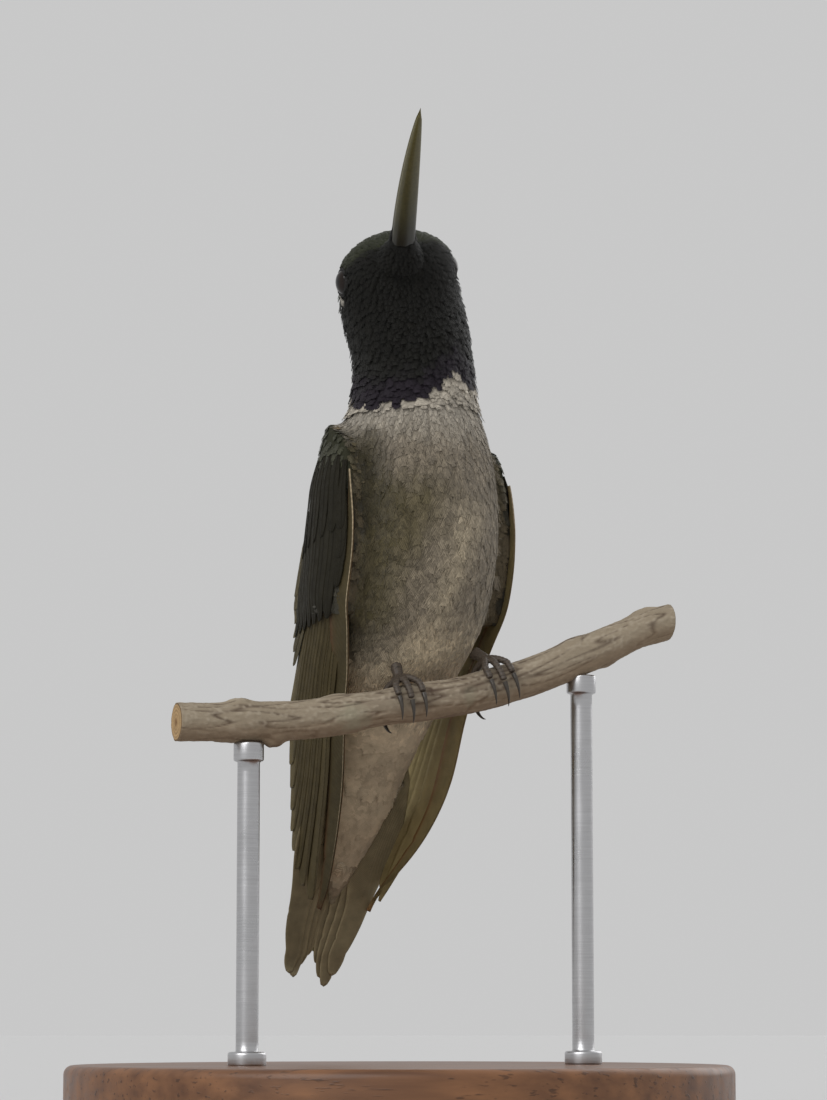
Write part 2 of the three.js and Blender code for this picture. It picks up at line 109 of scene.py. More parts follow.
def write_mesh(name, points, triangles):
    """A Blender mesh from points and triangles as they are."""
    mesh = bpy.data.meshes.new(name)
    mesh.vertices.add(len(points))
    mesh.vertices.foreach_set("co", np.ascontiguousarray(points, np.float32).ravel())
    mesh.loops.add(3 * len(triangles))
    mesh.loops.foreach_set("vertex_index", np.ascontiguousarray(triangles, np.int32).ravel())
    mesh.polygons.add(len(triangles))
    mesh.polygons.foreach_set("loop_start", np.arange(0, 3 * len(triangles), 3, dtype=np.int32))
    mesh.polygons.foreach_set("use_smooth", np.ones(len(triangles), bool))
    mesh.update(calc_edges=True)
    mesh.validate()
    return mesh


def new_object(
    name, points, triangles, material, slot, colours=None, vane=None, uv=None, normals=None
):
    """A piece of the model. colours is its marking and vane its place on its feather, by point."""
    mesh = write_mesh(name, points * MM, triangles)
    mesh.materials.append(material)
    if normals is not None:
        mesh.normals_split_custom_set_from_vertices(normals.tolist())
    if colours is not None:
        opaque = np.concatenate([colours, np.ones((len(colours), 1))], axis=1)
        layer = mesh.color_attributes.new("Marking", "FLOAT_COLOR", "POINT")
        layer.data.foreach_set("color", opaque.astype(np.float32).ravel())
    if vane is not None:
        layer = mesh.attributes.new("Vane", "FLOAT_VECTOR", "POINT")
        layer.data.foreach_set("vector", vane.astype(np.float32).ravel())
    if uv is not None:
        layer = mesh.uv_layers.new(name="OFBake")
        layer.data.foreach_set("uv", uv[triangles.ravel()].astype(np.float32).ravel())
    piece = bpy.data.objects.new(name, mesh)
    bpy.context.scene.collection.objects.link(piece)
    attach(piece, "root")
    return piece


def join_meshes(parts):
    """One list of points and one of triangles from several."""
    starts = np.cumsum([0] + [len(points) for points, _ in parts[:-1]])
    points = np.concatenate([points for points, _ in parts])
    return points, np.concatenate([faces + start for (_, faces), start in zip(parts, starts)])


def remeshed(parts, voxel, passes):
    """The smoothed outer surface of overlapping solids, as points and triangles."""
    scratch = bpy.data.objects.new("scratch", write_mesh("scratch", *join_meshes(parts)))
    bpy.context.scene.collection.objects.link(scratch)
    remesh = scratch.modifiers.new("remesh", "REMESH")
    remesh.mode = "VOXEL"
    remesh.voxel_size = voxel
    smooth = scratch.modifiers.new("smooth", "SMOOTH")
    smooth.factor = 0.5
    smooth.iterations = passes
    shown = scratch.evaluated_get(bpy.context.evaluated_depsgraph_get())
    made = read_mesh(shown.to_mesh())
    shown.to_mesh_clear()
    mesh = scratch.data
    bpy.data.objects.remove(scratch)
    bpy.data.meshes.remove(mesh)
    return made


def normals_of(points, triangles):
    """The smooth normal at each point."""
    corners = points[triangles]
    across = np.cross(corners[:, 1] - corners[:, 0], corners[:, 2] - corners[:, 0])
    total = np.zeros_like(points)
    for k in range(3):
        np.add.at(total, triangles[:, k], across)
    return unit(total)


def ring_mesh(rings, close=True):
    """A mesh from rings of the same number of points, with a fan over each end if close."""
    count, around = rings.shape[:2]
    start = np.arange(count - 1)[:, None] * around + np.arange(around)
    beside = np.arange(count - 1)[:, None] * around + (np.arange(around) + 1) % around
    faces = [np.stack([start, beside, beside + around], -1).reshape(-1, 3)]
    faces.append(np.stack([start, beside + around, start + around], -1).reshape(-1, 3))
    points = rings.reshape(-1, 3)
    if close:
        first = np.arange(around)
        last = first + (count - 1) * around
        middle = np.full(around, len(points))
        faces.append(np.stack([np.roll(first, -1), first, middle], -1))
        faces.append(np.stack([middle + 1, last, np.roll(last, -1)], -1))
        points = np.concatenate([points, rings[[0, -1]].mean(axis=1)])
    return points, np.concatenate(faces)


def crossings(mesh, axes, axis, level):
    """Where a mesh's edges cross the plane at that level of an axis, in the axes' own frame."""
    points, faces = mesh
    local = axes.local(points)
    edges = np.concatenate([faces[:, [0, 1]], faces[:, [1, 2]], faces[:, [2, 0]]])
    a, b = local[edges[:, 0]], local[edges[:, 1]]
    over = (a[:, axis] - level) * (b[:, axis] - level) < 0
    a, b = a[over], b[over]
    share = (level - a[:, axis]) / (b[:, axis] - a[:, axis])
    return a + (b - a) * share[:, None]


class Axes:
    """A frame of three unit axes inside the part's frame."""

    def __init__(self, origin, x, y, z):
        self.origin = np.array(origin)
        self.turn = np.array([x, y, z])

    def local(self, points):
        """Points of the part's frame in these axes."""
        return (points - self.origin) @ self.turn.T

    def part(self, points):
        """Points given in these axes, in the part's frame."""
        return points @ self.turn + self.origin

    def along(self, vectors):
        """Directions given in these axes, in the part's frame."""
        return vectors @ self.turn


# ---------------------------------------------------------------- where the bird's parts are
# Every CAD node's points and faces, and the mean of its points.
MESHES = {name: node_mesh(name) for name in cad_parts}
CENTRE = {name: points.mean(axis=0) for name, (points, _) in MESHES.items()}

UP = np.array([0.0, 0.0, 1.0])
EYES = (CENTRE["eye_left"] + CENTRE["eye_right"]) / 2


def bird_axes():
    """The bird's own frame: x to its left, y to its back and z up, from between its shoulders."""
    left, right = CENTRE["wing_left_coverts"], CENTRE["wing_right_coverts"]
    across = unit(left - right)
    return Axes((left + right) / 2, across, np.cross(UP, across), UP)


BILL_ROOT_POINTS = 8  # as many as the nearest to the eyes give the middle of the bill's root


def bill_ends():
    """The middle of the bill's root, and its tip."""
    points = MESHES["bill_upper"][0]
    points = points[np.argsort(np.linalg.norm(points - EYES, axis=1))]
    return points[:BILL_ROOT_POINTS].mean(axis=0), points[-1]


def head_axes():
    """The head's frame: x ahead along the bill, y to its left and z over it, from its root."""
    ahead = unit(BILL_TIP - BILL_ROOT)
    across = CENTRE["eye_left"] - CENTRE["eye_right"]
    across = unit(across - ahead * (across @ ahead))
    return Axes(BILL_ROOT, ahead, across, np.cross(ahead, across))


def tail_axes():
    """The tail's frame: x down along it, y to its left and z over its back, from its root."""
    points = MESHES["tail"][0]
    middle = points.mean(axis=0)
    spreads = np.linalg.svd(points - middle, full_matrices=False)[2]
    down = spreads[0] * -np.sign(spreads[0] @ UP)
    across = unit(BIRD.turn[0] - down * (BIRD.turn[0] @ down))
    root = middle + down * ((points - middle) @ down).min()
    over = np.cross(across, down)
    return Axes(root, down, across, over * np.sign(over @ BIRD.turn[1]))


BIRD = bird_axes()
BILL_ROOT, BILL_TIP = bill_ends()
HEAD = head_axes()
TAIL = tail_axes()
TAIL_LENGTH = TAIL.local(MESHES["tail"][0])[:, 0].max()


def height_of(points):
    """Heights over the bird frame's origin."""
    return BIRD.local(points)[:, 2]


def smoothed(rows, passes):
    """Rows averaged with their neighbours, with the first and last kept."""
    for _ in range(passes):
        middle = (rows[:-2] + 2 * rows[1:-1] + rows[2:]) / 4
        rows = np.concatenate([rows[:1], middle, rows[-1:]])
    return rows


# ---------------------------------------------------------------- the bill's shape
BILL_STATIONS = 80  # places along the bill where its solids are measured


def bill_sections(name):
    """A mandible's places ahead and, at each, its middle, half width, underside and top."""
    ahead = np.linspace(0.6, HEAD.local(MESHES[name][0])[:, 0].max() - 0.1, BILL_STATIONS)
    rows = []
    for level in ahead:
        cut = crossings(MESHES[name], HEAD, 0, level)
        low, high = cut.min(axis=0), cut.max(axis=0)
        rows.append(((low[1] + high[1]) / 2, (high[1] - low[1]) / 2, low[2], high[2]))
    return ahead, smoothed(np.array(rows), 6)


BILL = {name: bill_sections(name) for name in ("bill_upper", "bill_lower")}


def bill_at(name, ahead):
    """A mandible's middle, half width, underside and top at places ahead of its root."""
    return [np.interp(ahead, BILL[name][0], column) for column in BILL[name][1].T]


# ---------------------------------------------------------------- skin
SKIN_VOXEL = 0.35
# The solids of flesh, and how far the skin lies inside each, under the feathers.
COAT_DEPTH = {
    "trunk": 0.55,
    "neck": 0.4,
    "head": 0.22,
    "wing_left_coverts": 0.25,
    "wing_right_coverts": 0.25,
    "undertail_coverts": 0.35,
    "uppertail_coverts": 0.3,
}
FLESH = tuple(COAT_DEPTH)


def spread_over(values, triangles, count, passes):
    """Values by point, each averaged with its neighbours' that many times."""
    edges = np.concatenate([triangles[:, [0, 1]], triangles[:, [1, 2]], triangles[:, [2, 0]]])
    weight = np.bincount(edges[:, 0], minlength=count).astype(float)
    for _ in range(passes):
        total = np.bincount(edges[:, 0], weights=values[edges[:, 1]], minlength=count)
        values = 0.5 * values + 0.5 * total / weight
    return values


def tail_root():
    """The part of the tail that the trunk's slot holds, as a closed lump that fills the slot."""
    end = TAIL.local(CENTRE["undertail_coverts"])[0]
    local = TAIL.local(MESHES["tail"][0])
    local = local[local[:, 0] < end]
    local[:, 1] *= mix(1.0, 0.65, smoothstep(0, 0.8 * end, local[:, 0]))
    points = TAIL.part(local)
    mesh = bmesh.new()
    for point in points:
        mesh.verts.new(point)
    hull = bmesh.ops.convex_hull(mesh, input=mesh.verts)
    loose = [v for v in hull["geom_interior"] if isinstance(v, bmesh.types.BMVert)]
    bmesh.ops.delete(mesh, geom=loose, context="VERTS")
    bmesh.ops.triangulate(mesh, faces=mesh.faces)
    mesh.verts.index_update()
    made = np.array([v.co for v in mesh.verts])
    faces = np.array([[v.index for v in f.verts] for f in mesh.faces])
    mesh.free()
    return made, faces


WING_NODES = {side: (f"wing_{side}_coverts", f"wing_{side}_feathers") for side in SIDES}
WING_TREES = [tree_of(*MESHES[name]) for side in SIDES for name in WING_NODES[side]]
WING_TUCK = 0.5  # how much deeper the skin lies beside a folded wing
TUCK_REACH = (4.0, 0.8)  # how far from the wing that begins, and is full
TUCK_TOP = (6, 1)  # the heights where it begins, and is full


def tuck(points):
    """How far the flanks are pressed in by the folded wings."""
    gap = np.array([min(tree.find_nearest(Vector(p))[3] for tree in WING_TREES) for p in points])
    near = smoothstep(*TUCK_REACH, gap)
    return WING_TUCK * near * smoothstep(*TUCK_TOP, height_of(points))


SLEEVE_BACK = -1.2  # where the skin over the bill's base starts, behind the bill's root
# How far the feathered skin reaches along the bill, on top, at the sides and below.
SLEEVE_TOP, SLEEVE_SIDE, SLEEVE_BELOW = 2.4, 3.2, 1.7
SLEEVE_SKIN = 0.07  # its thickness over the bill
SLEEVE_FLARE = 1.0  # how much thicker it is where it starts, inside the head
SLEEVE_RINGS, SLEEVE_AROUND = 14, 48


def bill_sleeve():
    """The skin over the bill's base, as points and triangles."""
    turn = circle(SLEEVE_AROUND)
    rise = np.sin(turn)
    end = np.where(rise > 0, SLEEVE_TOP, SLEEVE_BELOW)
    reach = mix(SLEEVE_SIDE, end, np.where(rise > 0, rise**2, np.abs(rise) ** 0.7))
    rings = []
    for share in np.linspace(0, 1, SLEEVE_RINGS):
        ahead = mix(SLEEVE_BACK, reach, share)
        middle, half, _, top = bill_at("bill_upper", ahead)
        bottom = bill_at("bill_lower", ahead)[2]
        flare = SLEEVE_FLARE * smoothstep(SLEEVE_TOP, SLEEVE_BACK, ahead) ** 2
        cover = SLEEVE_SKIN * (1 - share**4) + flare
        side = middle + (half + cover) * np.cos(turn)
        over = (top + bottom) / 2 + ((top - bottom) / 2 + cover) * rise
        rings.append(HEAD.part(np.stack([ahead, side, over], axis=1)))
    return ring_mesh(np.array(rings), close=False)


def make_skin():
    """The skin's points, triangles, smooth normals and the solid that each point stands for."""
    points, triangles = remeshed([MESHES[name] for name in FLESH] + [tail_root()], SKIN_VOXEL, 8)
    trees = [tree_of(*MESHES[name]) for name in FLESH]
    gaps = np.array([[tree.find_nearest(Vector(p))[3] for p in points] for tree in trees])
    solid = gaps.argmin(axis=0)
    depth = np.array([COAT_DEPTH[name] for name in FLESH])[solid]
    trunk = solid == FLESH.index("trunk")
    depth[trunk] += tuck(points[trunk])
    depth *= 1 - 0.9 * smoothstep(-2.5, 0.0, HEAD.local(points)[:, 0])  # thin beside the bill
    depth = spread_over(depth, triangles, len(points), 6)
    points = points - normals_of(points, triangles) * depth[:, None]
    sleeve = bill_sleeve()
    normals = np.concatenate([normals_of(points, triangles), normals_of(*sleeve)])
    solid = np.concatenate([solid, np.full(len(sleeve[0]), FLESH.index("head"))])
    points, triangles = join_meshes([(points, triangles), sleeve])
    return points, triangles, normals, solid


SKIN, SKIN_FACES, SKIN_NORMALS, SKIN_SOLID = make_skin()
SKIN_TREE = tree_of(SKIN, SKIN_FACES)


def section_middle(name, level):
    """The middle of a level section of a solid."""
    cut = crossings(MESHES[name], BIRD, 2, level)
    return BIRD.part((cut.min(axis=0) + cut.max(axis=0)) / 2)


# The bird's middle line, from the bill's tip to the tail's tip. The coat lies along it. Its
# places in the trunk are level sections, counted up from the shoulders.
SPINE = np.array(
    [BILL_TIP, BILL_ROOT, EYES, CENTRE["neck"]]
    + [section_middle("trunk", level) for level in (6, 0, -6, -12, -18)]
    + [TAIL.origin, TAIL.part(np.array([TAIL_LENGTH, 0, 0]))]
)
EYE_CLEAR = 1.5  # feathers part round the eye inside about twice this distance


def lie(points, normals):
    """The way the coat lies at each point of the skin."""
    way = np.zeros_like(points)
    for start, end in zip(SPINE[:-1], SPINE[1:]):
        line = end - start
        share = np.clip((points - start) @ line / (line @ line), 0, 1)
        gap = np.linalg.norm(points - start - share[:, None] * line, axis=1)
        way += unit(line) * (gap**-4.0)[:, None]  # the nearest stretch counts most
    way = unit(way)
    for side in SIDES:
        to_eye = CENTRE[f"eye_{side}"] - points
        distance = np.linalg.norm(to_eye, axis=1)
        to_eye = unit(to_eye)
        blocked = np.maximum((way * to_eye).sum(axis=1), 0)
        blocked *= 1 - smoothstep(EYE_CLEAR, 2 * EYE_CLEAR, distance)
        way -= to_eye * blocked[:, None]
    return unit(way - normals * (way * normals).sum(axis=1)[:, None])


# ---------------------------------------------------------------- the wings' and tail's surfaces
SHEET_ROWS, SHEET_COLUMNS = 72, 24
SHEET_EDGE = 0.04  # the share inside its edges where its outermost heights are read
CLEAR_OF_ALL = 60.0  # further out than any part of the bird


class Sheet:
    """The outer side of a flat solid, made smooth, over a grid.

    The grid's rows are levels along the solid and its columns shares of its breadth. Its axes
    run across the solid, down its length and out from it. Its edges run straight on from the
    level `hold`, where one is given.
    """

    def __init__(self, axes, names, start, end, hold=None):
        self.axes = axes
        self.levels = np.linspace(start, end, SHEET_ROWS)
        edges, heights = [], []
        trees = [tree_of(axes.local(MESHES[name][0]), MESHES[name][1]) for name in names]
        for level in self.levels:
            cuts = [crossings(MESHES[name], axes, 1, level) for name in names]
            across = np.concatenate(cuts)[:, 0]
            edges.append((across.min(), across.max()))
            heights.append(self.tops(trees, level, *edges[-1]))
        self.edges = smoothed(np.array(edges), 4)
        held = np.searchsorted(self.levels, end if hold is None else hold)
        self.edges[held:] = self.edges[min(held, SHEET_ROWS - 1)]
        self.heights = smoothed(smoothed(np.array(heights), 5).T, 2).T

    def tops(self, trees, level, near, far):
        """The height of the solid's outer side at each share of the way across."""
        shares = np.linspace(0, 1, SHEET_COLUMNS)
        found = np.full(SHEET_COLUMNS, np.nan)
        for i, share in enumerate(np.clip(shares, SHEET_EDGE, 1 - SHEET_EDGE)):
            start = Vector((mix(near, far, share), level, CLEAR_OF_ALL))
            hits = [tree.ray_cast(start, Vector((0, 0, -1)))[0] for tree in trees]
            found[i] = max((hit.z for hit in hits if hit is not None), default=np.nan)
        known = ~np.isnan(found)
        return np.interp(shares, shares[known], found[known])

    def sides(self, along):
        """The places across of both edges, by level."""
        return [np.interp(along, self.levels, edge) for edge in self.edges.T]

    def height(self, along, share):
        """The smoothed height of its grid, by level and share of the way across."""
        row = np.interp(along, self.levels, np.arange(SHEET_ROWS))
        column = np.clip(share, 0, 1) * (SHEET_COLUMNS - 1)
        top = np.minimum(row.astype(int), SHEET_ROWS - 2)
        side = np.minimum(column.astype(int), SHEET_COLUMNS - 2)
        upper = mix(self.heights[top, side], self.heights[top, side + 1], column - side)
        lower = mix(self.heights[top + 1, side], self.heights[top + 1, side + 1], column - side)
        return mix(upper, lower, row - top)

    def place(self, along, across, over):
        """Points in the part's frame, at a level, a place across and a height over the solid."""
        near, far = self.sides(along)
        share = (across - near) / np.maximum(far - near, 1e-3)
        return self.axes.part(np.stack([across, along, self.height(along, share) + over], -1))


WING_TOP = 6.0  # where a wing's sheet starts, over the bird frame's origin
WING_TIP = 38.25  # where it ends, under it


def wing_sheet(side):
    """A folded wing's outer side, from its wrist to its tip."""
    axes = Axes(BIRD.origin, BIRD.turn[1], -UP, SIDES[side] * BIRD.turn[0])
    return Sheet(axes, WING_NODES[side], -WING_TOP, WING_TIP - 0.1)


WING_SHEETS = {side: wing_sheet(side) for side in SIDES}


# ---------------------------------------------------------------- markings
def paint(red, green, blue):
    """A colour as seen, 0 to 255, as the renderer counts it."""
    seen = np.array([red, green, blue]) / 255
    return np.where(seen < 0.04045, seen / 12.92, ((seen + 0.055) / 1.055) ** 2.4)


BLACK = paint(17, 16, 10)
VIOLET = paint(31, 23, 33)
CROWN = paint(52, 55, 36)
BACK = paint(70, 74, 48)
COLLAR = paint(188, 179, 164)
BREAST = paint(140, 129, 112)
OLIVE = paint(86, 78, 52)
STREAK = paint(186, 172, 146)
BELLY = paint(208, 191, 162)
VENT = paint(185, 170, 144)
WING = paint(52, 49, 39)
LINING = paint(146, 128, 98)  # the underside of the wings

TRUNK_AXIS = -1.9  # the trunk's middle line, behind the bird frame's origin, down to the belly
# The gorget's lower edge: degrees round the trunk from its front, and its height there.
GORGET_EDGE = np.array(
    [(-125, 9.1), (-95, 7.7), (-70, 7.1), (-45, 7.0), (-25, 7.5), (-11, 8.9)]
    + [(4, 10.3), (22, 9.1), (45, 9.4), (70, 10.2), (125, 12.0)]
)
WHITE = paint(196, 190, 178)  # the spot behind the eye
EYE_SPOT = (-6.4, 4.9, 0.3)  # the white spot behind the left eye, in the head's frame
EYE_SPOT_RADIUS = 0.55
VIOLET_BAND = 3.6  # how far the gorget's violet reaches up from its edge
FACE_TOP = 2.5  # the crown's own line counts only this far above the gorget's edge

# The heights where one colour starts to give way to the next, and where it has.
COLLAR_TO_BREAST = (7.0, 2.5)
BACK_TO_CROWN = (9.0, 15.0)
BREAST_TO_OLIVE = (2.5, -2.5)
BELLY_TO_OLIVE = (-17.5, -11.0)
BREAST_TO_BELLY = (-11.0, -15.5)
BELLY_TO_VENT = (-21.0, -25.0)
# The right flank's olive patch: heights, and degrees round the trunk where it ends at each.
OLIVE_EDGE = ((-14, -8, -1), (-32, -24, 2))
# The breast's pale streak: degrees round at the shoulders, how far it turns to the millimetre up,
# and its half width in degrees.
STREAK_AT, STREAK_LEAN, STREAK_HALF = 8.0, 1.6, 10.0


def mottle(points, size, seed=0):
    """Soft noise from -1 to 1 whose lumps are about `size` across."""
    places = points / size + seed * 17.3
    return np.array([noise.noise(Vector(p)) for p in places])


def azimuth(points):
    """Degrees round the body from its front, more than 0 on the bird's left."""
    bird = BIRD.local(points)
    root, tip = BIRD.local(SPINE[-2:])
    axis = np.interp(bird[:, 2], (tip[2], root[2], -12), (tip[1], root[1], TRUNK_AXIS))
    return np.degrees(np.arctan2(bird[:, 0], axis - bird[:, 1]))


def hood(points):
    """How far a point lies above the gorget's lower edge."""
    return height_of(points) - np.interp(azimuth(points), *GORGET_EDGE.T)


def is_crown(points):
    """1 on the crown, nape, back and rump, 0 on the face, throat and underparts."""
    head, tail = HEAD.local(points), TAIL.local(points)
    line = 1.1 + 0.34 * np.minimum(head[:, 0] + 5.5, 0) + 0.3 * mottle(points, 0.7, 7)
    line -= 0.7 * smoothstep(-1.5, 0.5, head[:, 0])
    top = smoothstep(line - 0.3, line + 0.5, head[:, 2])
    back = smoothstep(112, 128, np.abs(azimuth(points)))
    rump = smoothstep(-0.9, -0.3, tail[:, 2]) * smoothstep(-4, -1, tail[:, 0])
    behind = np.maximum(back, rump)
    return np.where(hood(points) > FACE_TOP, np.maximum(top, behind), behind)


def underparts(turn, up, uneven, fine):
    """The colour of collar, breast, flanks, belly and vent, by degrees round and height, with painted
    shade.
    """
    body = blend(COLLAR, BREAST, smoothstep(*COLLAR_TO_BREAST, up + 0.8 * uneven))
    inner = np.interp(up, *OLIVE_EDGE)
    right = smoothstep(inner + 8, inner - 32, turn + 6 * uneven)
    left = smoothstep(14, 34, turn + 6 * uneven) * smoothstep(-0.5, 0.4, fine)
    flank = np.maximum(right, 0.15 * left)
    by_wing = smoothstep(-38, -66, turn)
    flank *= smoothstep(*BREAST_TO_OLIVE, up - 4.5 * by_wing + uneven)
    flank *= smoothstep(*BELLY_TO_OLIVE, up + uneven)
    body = blend(body, OLIVE, np.clip(flank * (0.92 + 0.2 * fine), 0, 1))
    # painted shade: darker beside the folded wing, where its shadow falls, and a little darker
    # towards the bird's right side
    shade = by_wing * smoothstep(-6, -2.5, up) * smoothstep(6, 2, up)
    body = body * ((1 - 0.4 * shade) * (1 - 0.12 * smoothstep(0, -60, turn)))[:, None]
    streak = np.exp(-(((turn - STREAK_AT - STREAK_LEAN * up) / STREAK_HALF) ** 2))
    streak *= smoothstep(-0.5, -4, up)
    body = blend(body, STREAK, 0.75 * streak * (0.8 + 0.4 * fine))
    low = up + uneven + 3 * smoothstep(-20, -50, turn)  # the belly is pale further up in its middle
    body = blend(body, BELLY, smoothstep(*BREAST_TO_BELLY, low))
    return blend(body, VENT, smoothstep(*BELLY_TO_VENT, up + uneven))


def eye_spot(points):
    """1 on the white spots behind the eyes."""
    head = HEAD.local(points)
    head[:, 1] = np.abs(head[:, 1])
    gap = np.linalg.norm(head - EYE_SPOT, axis=1)
    return smoothstep(1.5 * EYE_SPOT_RADIUS, EYE_SPOT_RADIUS, gap)


def marking(points):
    """The colour of skin and coat at each point."""
    up = height_of(points)
    uneven = mottle(points, 2.2)
    fine = mottle(points, 0.8, 1)
    above = hood(points)
    gorget = smoothstep(0.3 * VIOLET_BAND, VIOLET_BAND, above + 1.6 * fine)
    colour = underparts(azimuth(points), up, uneven, fine)
    colour = blend(colour, blend(VIOLET, BLACK, gorget), (above > 0).astype(float))
    upperparts = blend(BACK, CROWN, smoothstep(*BACK_TO_CROWN, up))
    colour = blend(colour, upperparts, is_crown(points))
    colour = blend(colour, WHITE, eye_spot(points))
    return colour * (1 + 0.1 * fine + 0.08 * uneven)[:, None]


def undertail_marking(points):
    """The undertail coverts' colours: those of the underparts, out to their edges."""
    below = TAIL.local(points)
    below[:, 2] = np.minimum(below[:, 2], -1)
    return marking(TAIL.part(below))


def on_wing_underside(points):
    """1 on the side of a folded wing's coverts that lies against the body, 0 on the others."""
    share = np.zeros(len(points))
    for sheet in WING_SHEETS.values():
        across, along, out = sheet.axes.local(points).T
        near, far = sheet.sides(along)
        breadth = (across - near) / (far - near)
        deep = sheet.height(along, breadth) - out
        inside = mix(0.3, 1.0, smoothstep(0.05, 0.16, breadth))
        share = np.maximum(share, smoothstep(0.6, 0.9, deep) * inside * (out > 0))
    return share


def wing_marking(points):
    """The colour of the folded wing's small feathers: green-bronze above, dusky below.

    Those on its underside, against the body, are a paler brown.
    """
    uneven = mottle(points, 1.6, 2)
    green = smoothstep(-4, 5, height_of(points) + uneven)
    outer = blend(WING, BACK, 0.4 * green) * (1 + 0.12 * uneven)[:, None]
    inner = LINING * (1 + 0.08 * uneven)[:, None]
    front = smoothstep(3.0, 0.5, BIRD.local(points)[:, 1])
    return blend(outer, inner, on_wing_underside(points) * front)


# ---------------------------------------------------------------- small feathers
def strip(count, first):
    """The triangles of a strip of paired points, which ends in a single one."""
    triangles = []
    for k in range(first, first + count - 3, 2):
        triangles += [(k, k + 1, k + 3), (k, k + 3, k + 2)]
    last = first + count - 1
    return triangles + [(last - 2, last - 1, last)]


def outline(v):
    """Half width of a feather's vane at a share of its length, as a share of the greatest."""
    return math.sqrt(max(1 - ((v - 0.55) / 0.5) ** 2, 0.02))


def barb(side, start, end, steps, width, fringe, ragged):
    """Points (u, v, tone) along both edges of a barb, from the shaft out to its single tip."""
    tone = random.random()
    reach = outline(end) * (1 + ragged * random.normal())
    end = min(end + 0.3 * ragged * random.normal(), 0.99)
    points = []
    for q in np.linspace(0, 1, steps + 1):
        middle = start + (end - start) * q**1.3
        half = width * (1 - fringe * q)
        for way in (-1, 1) if q < 1 else (0,):
            points.append((side * reach * (q ** (1 + 0.1 * way)), middle + way * half, tone))
    return points


class Template:
    """One feather's shape: points as share of its half width (u) and length (v), and triangles.

    Its barbs are narrow strips that leave the shaft and sweep to the tip: so many to a side,
    with so many steps along each. fringe is how far they narrow to their own tips, sweep how far
    up they reach, and ragged how unlike their ends are. Each point also has its barb's tone, from
    0 to 1.
    """

    def __init__(self, barbs, steps, fringe, sweep, ragged=0.06, shaft=0.05):
        points, triangles = [], []
        starts = np.linspace(0.1, 0.88, barbs)
        width = 0.62 * (starts[1] - starts[0])
        for side in (-1, 1):
            for start, end in zip(starts, starts + sweep * (1 - starts) ** 0.8):
                made = barb(side, start, end, steps, width, fringe, ragged)
                triangles += strip(len(made), len(points))
                points += made
        rod = [(side * shaft * (1.2 - at), at, 0.3) for at in (0, 0.35, 0.7) for side in (-1, 1)]
        rod.append((0, 1, 0.5))
        triangles += strip(len(rod), len(points))
        self.u, v, self.tone = np.array(points + rod).T
        self.v = np.clip(v, 0, 1)
        self.triangles = self.facing_out(np.array(triangles))

    def facing_out(self, triangles):
        """The triangles turned so that each faces away from the skin."""
        flat = np.stack([self.u, self.v], axis=1)[triangles]
        first, second = flat[:, 1] - flat[:, 0], flat[:, 2] - flat[:, 0]
        wrong = first[:, 0] * second[:, 1] > first[:, 1] * second[:, 0]
        triangles[wrong] = triangles[wrong][:, ::-1]
        return triangles


TRIES = 7  # places tried on the skin for each that is wanted


def scatter(chosen, spacing):
    """Places on the skin's chosen triangles, at least `spacing`, given by point, apart.

    Returns each place's triangle and its shares of the triangle's corners.
    """
    triangles = SKIN_FACES[chosen]
    corners = SKIN[triangles]
    area = np.cross(corners[:, 1] - corners[:, 0], corners[:, 2] - corners[:, 0])
    area = np.linalg.norm(area, axis=1) / 2
    gap = spacing[triangles].mean(axis=1)
    wanted = area / gap**2
    count = int(TRIES * wanted.sum())
    picks = random.choice(len(triangles), count, p=wanted / wanted.sum())
    shares = random.dirichlet((1, 1, 1), count)
    places = (corners[picks] * shares[..., None]).sum(axis=1)
    tree = KDTree(count)
    for i, place in enumerate(places):
        tree.insert(place, i)
    tree.balance()
    free = np.ones(count, bool)
    kept = []
    for i in range(count):
        if free[i]:
            kept.append(i)
            for _, near, _ in tree.find_range(places[i], gap[picks[i]]):
                free[near] = False
    return chosen[picks[kept]], shares[kept]


def on_skin(points, limit=0.9):
    """The nearest places on the skin and the smooth normals there.

    A point further off than the limit stays where it is, as a feather leaves a sharp edge.
    """
    found = [SKIN_TREE.find_nearest(Vector(p)) for p in points.reshape(-1, 3)]
    places = np.array([hit[0] for hit in found])
    normals = SKIN_NORMALS[SKIN_FACES[[hit[2] for hit in found]]].mean(axis=1)
    off = smoothstep(limit, 2 * limit, np.array([hit[3] for hit in found]))
    places = blend(places, points.reshape(-1, 3), off)
    return places.reshape(points.shape), unit(normals).reshape(points.shape)


def quadratic(t, knots):
    """The three weights at each t of a curve through its values at the knots."""
    a, b, c = knots
    first = (t - b) * (t - c) / ((a - b) * (a - c))
    second = (t - a) * (t - c) / ((b - a) * (b - c))
    third = (t - a) * (t - b) / ((c - a) * (c - b))
    return np.stack([first, second, third], axis=-1)


# ---------------------------------------------------------------- materials
def rgba(colour):
    """A colour with its alpha, or the socket that one comes from as it is."""
    return colour if isinstance(colour, bpy.types.NodeSocket) else (*colour, 1.0)


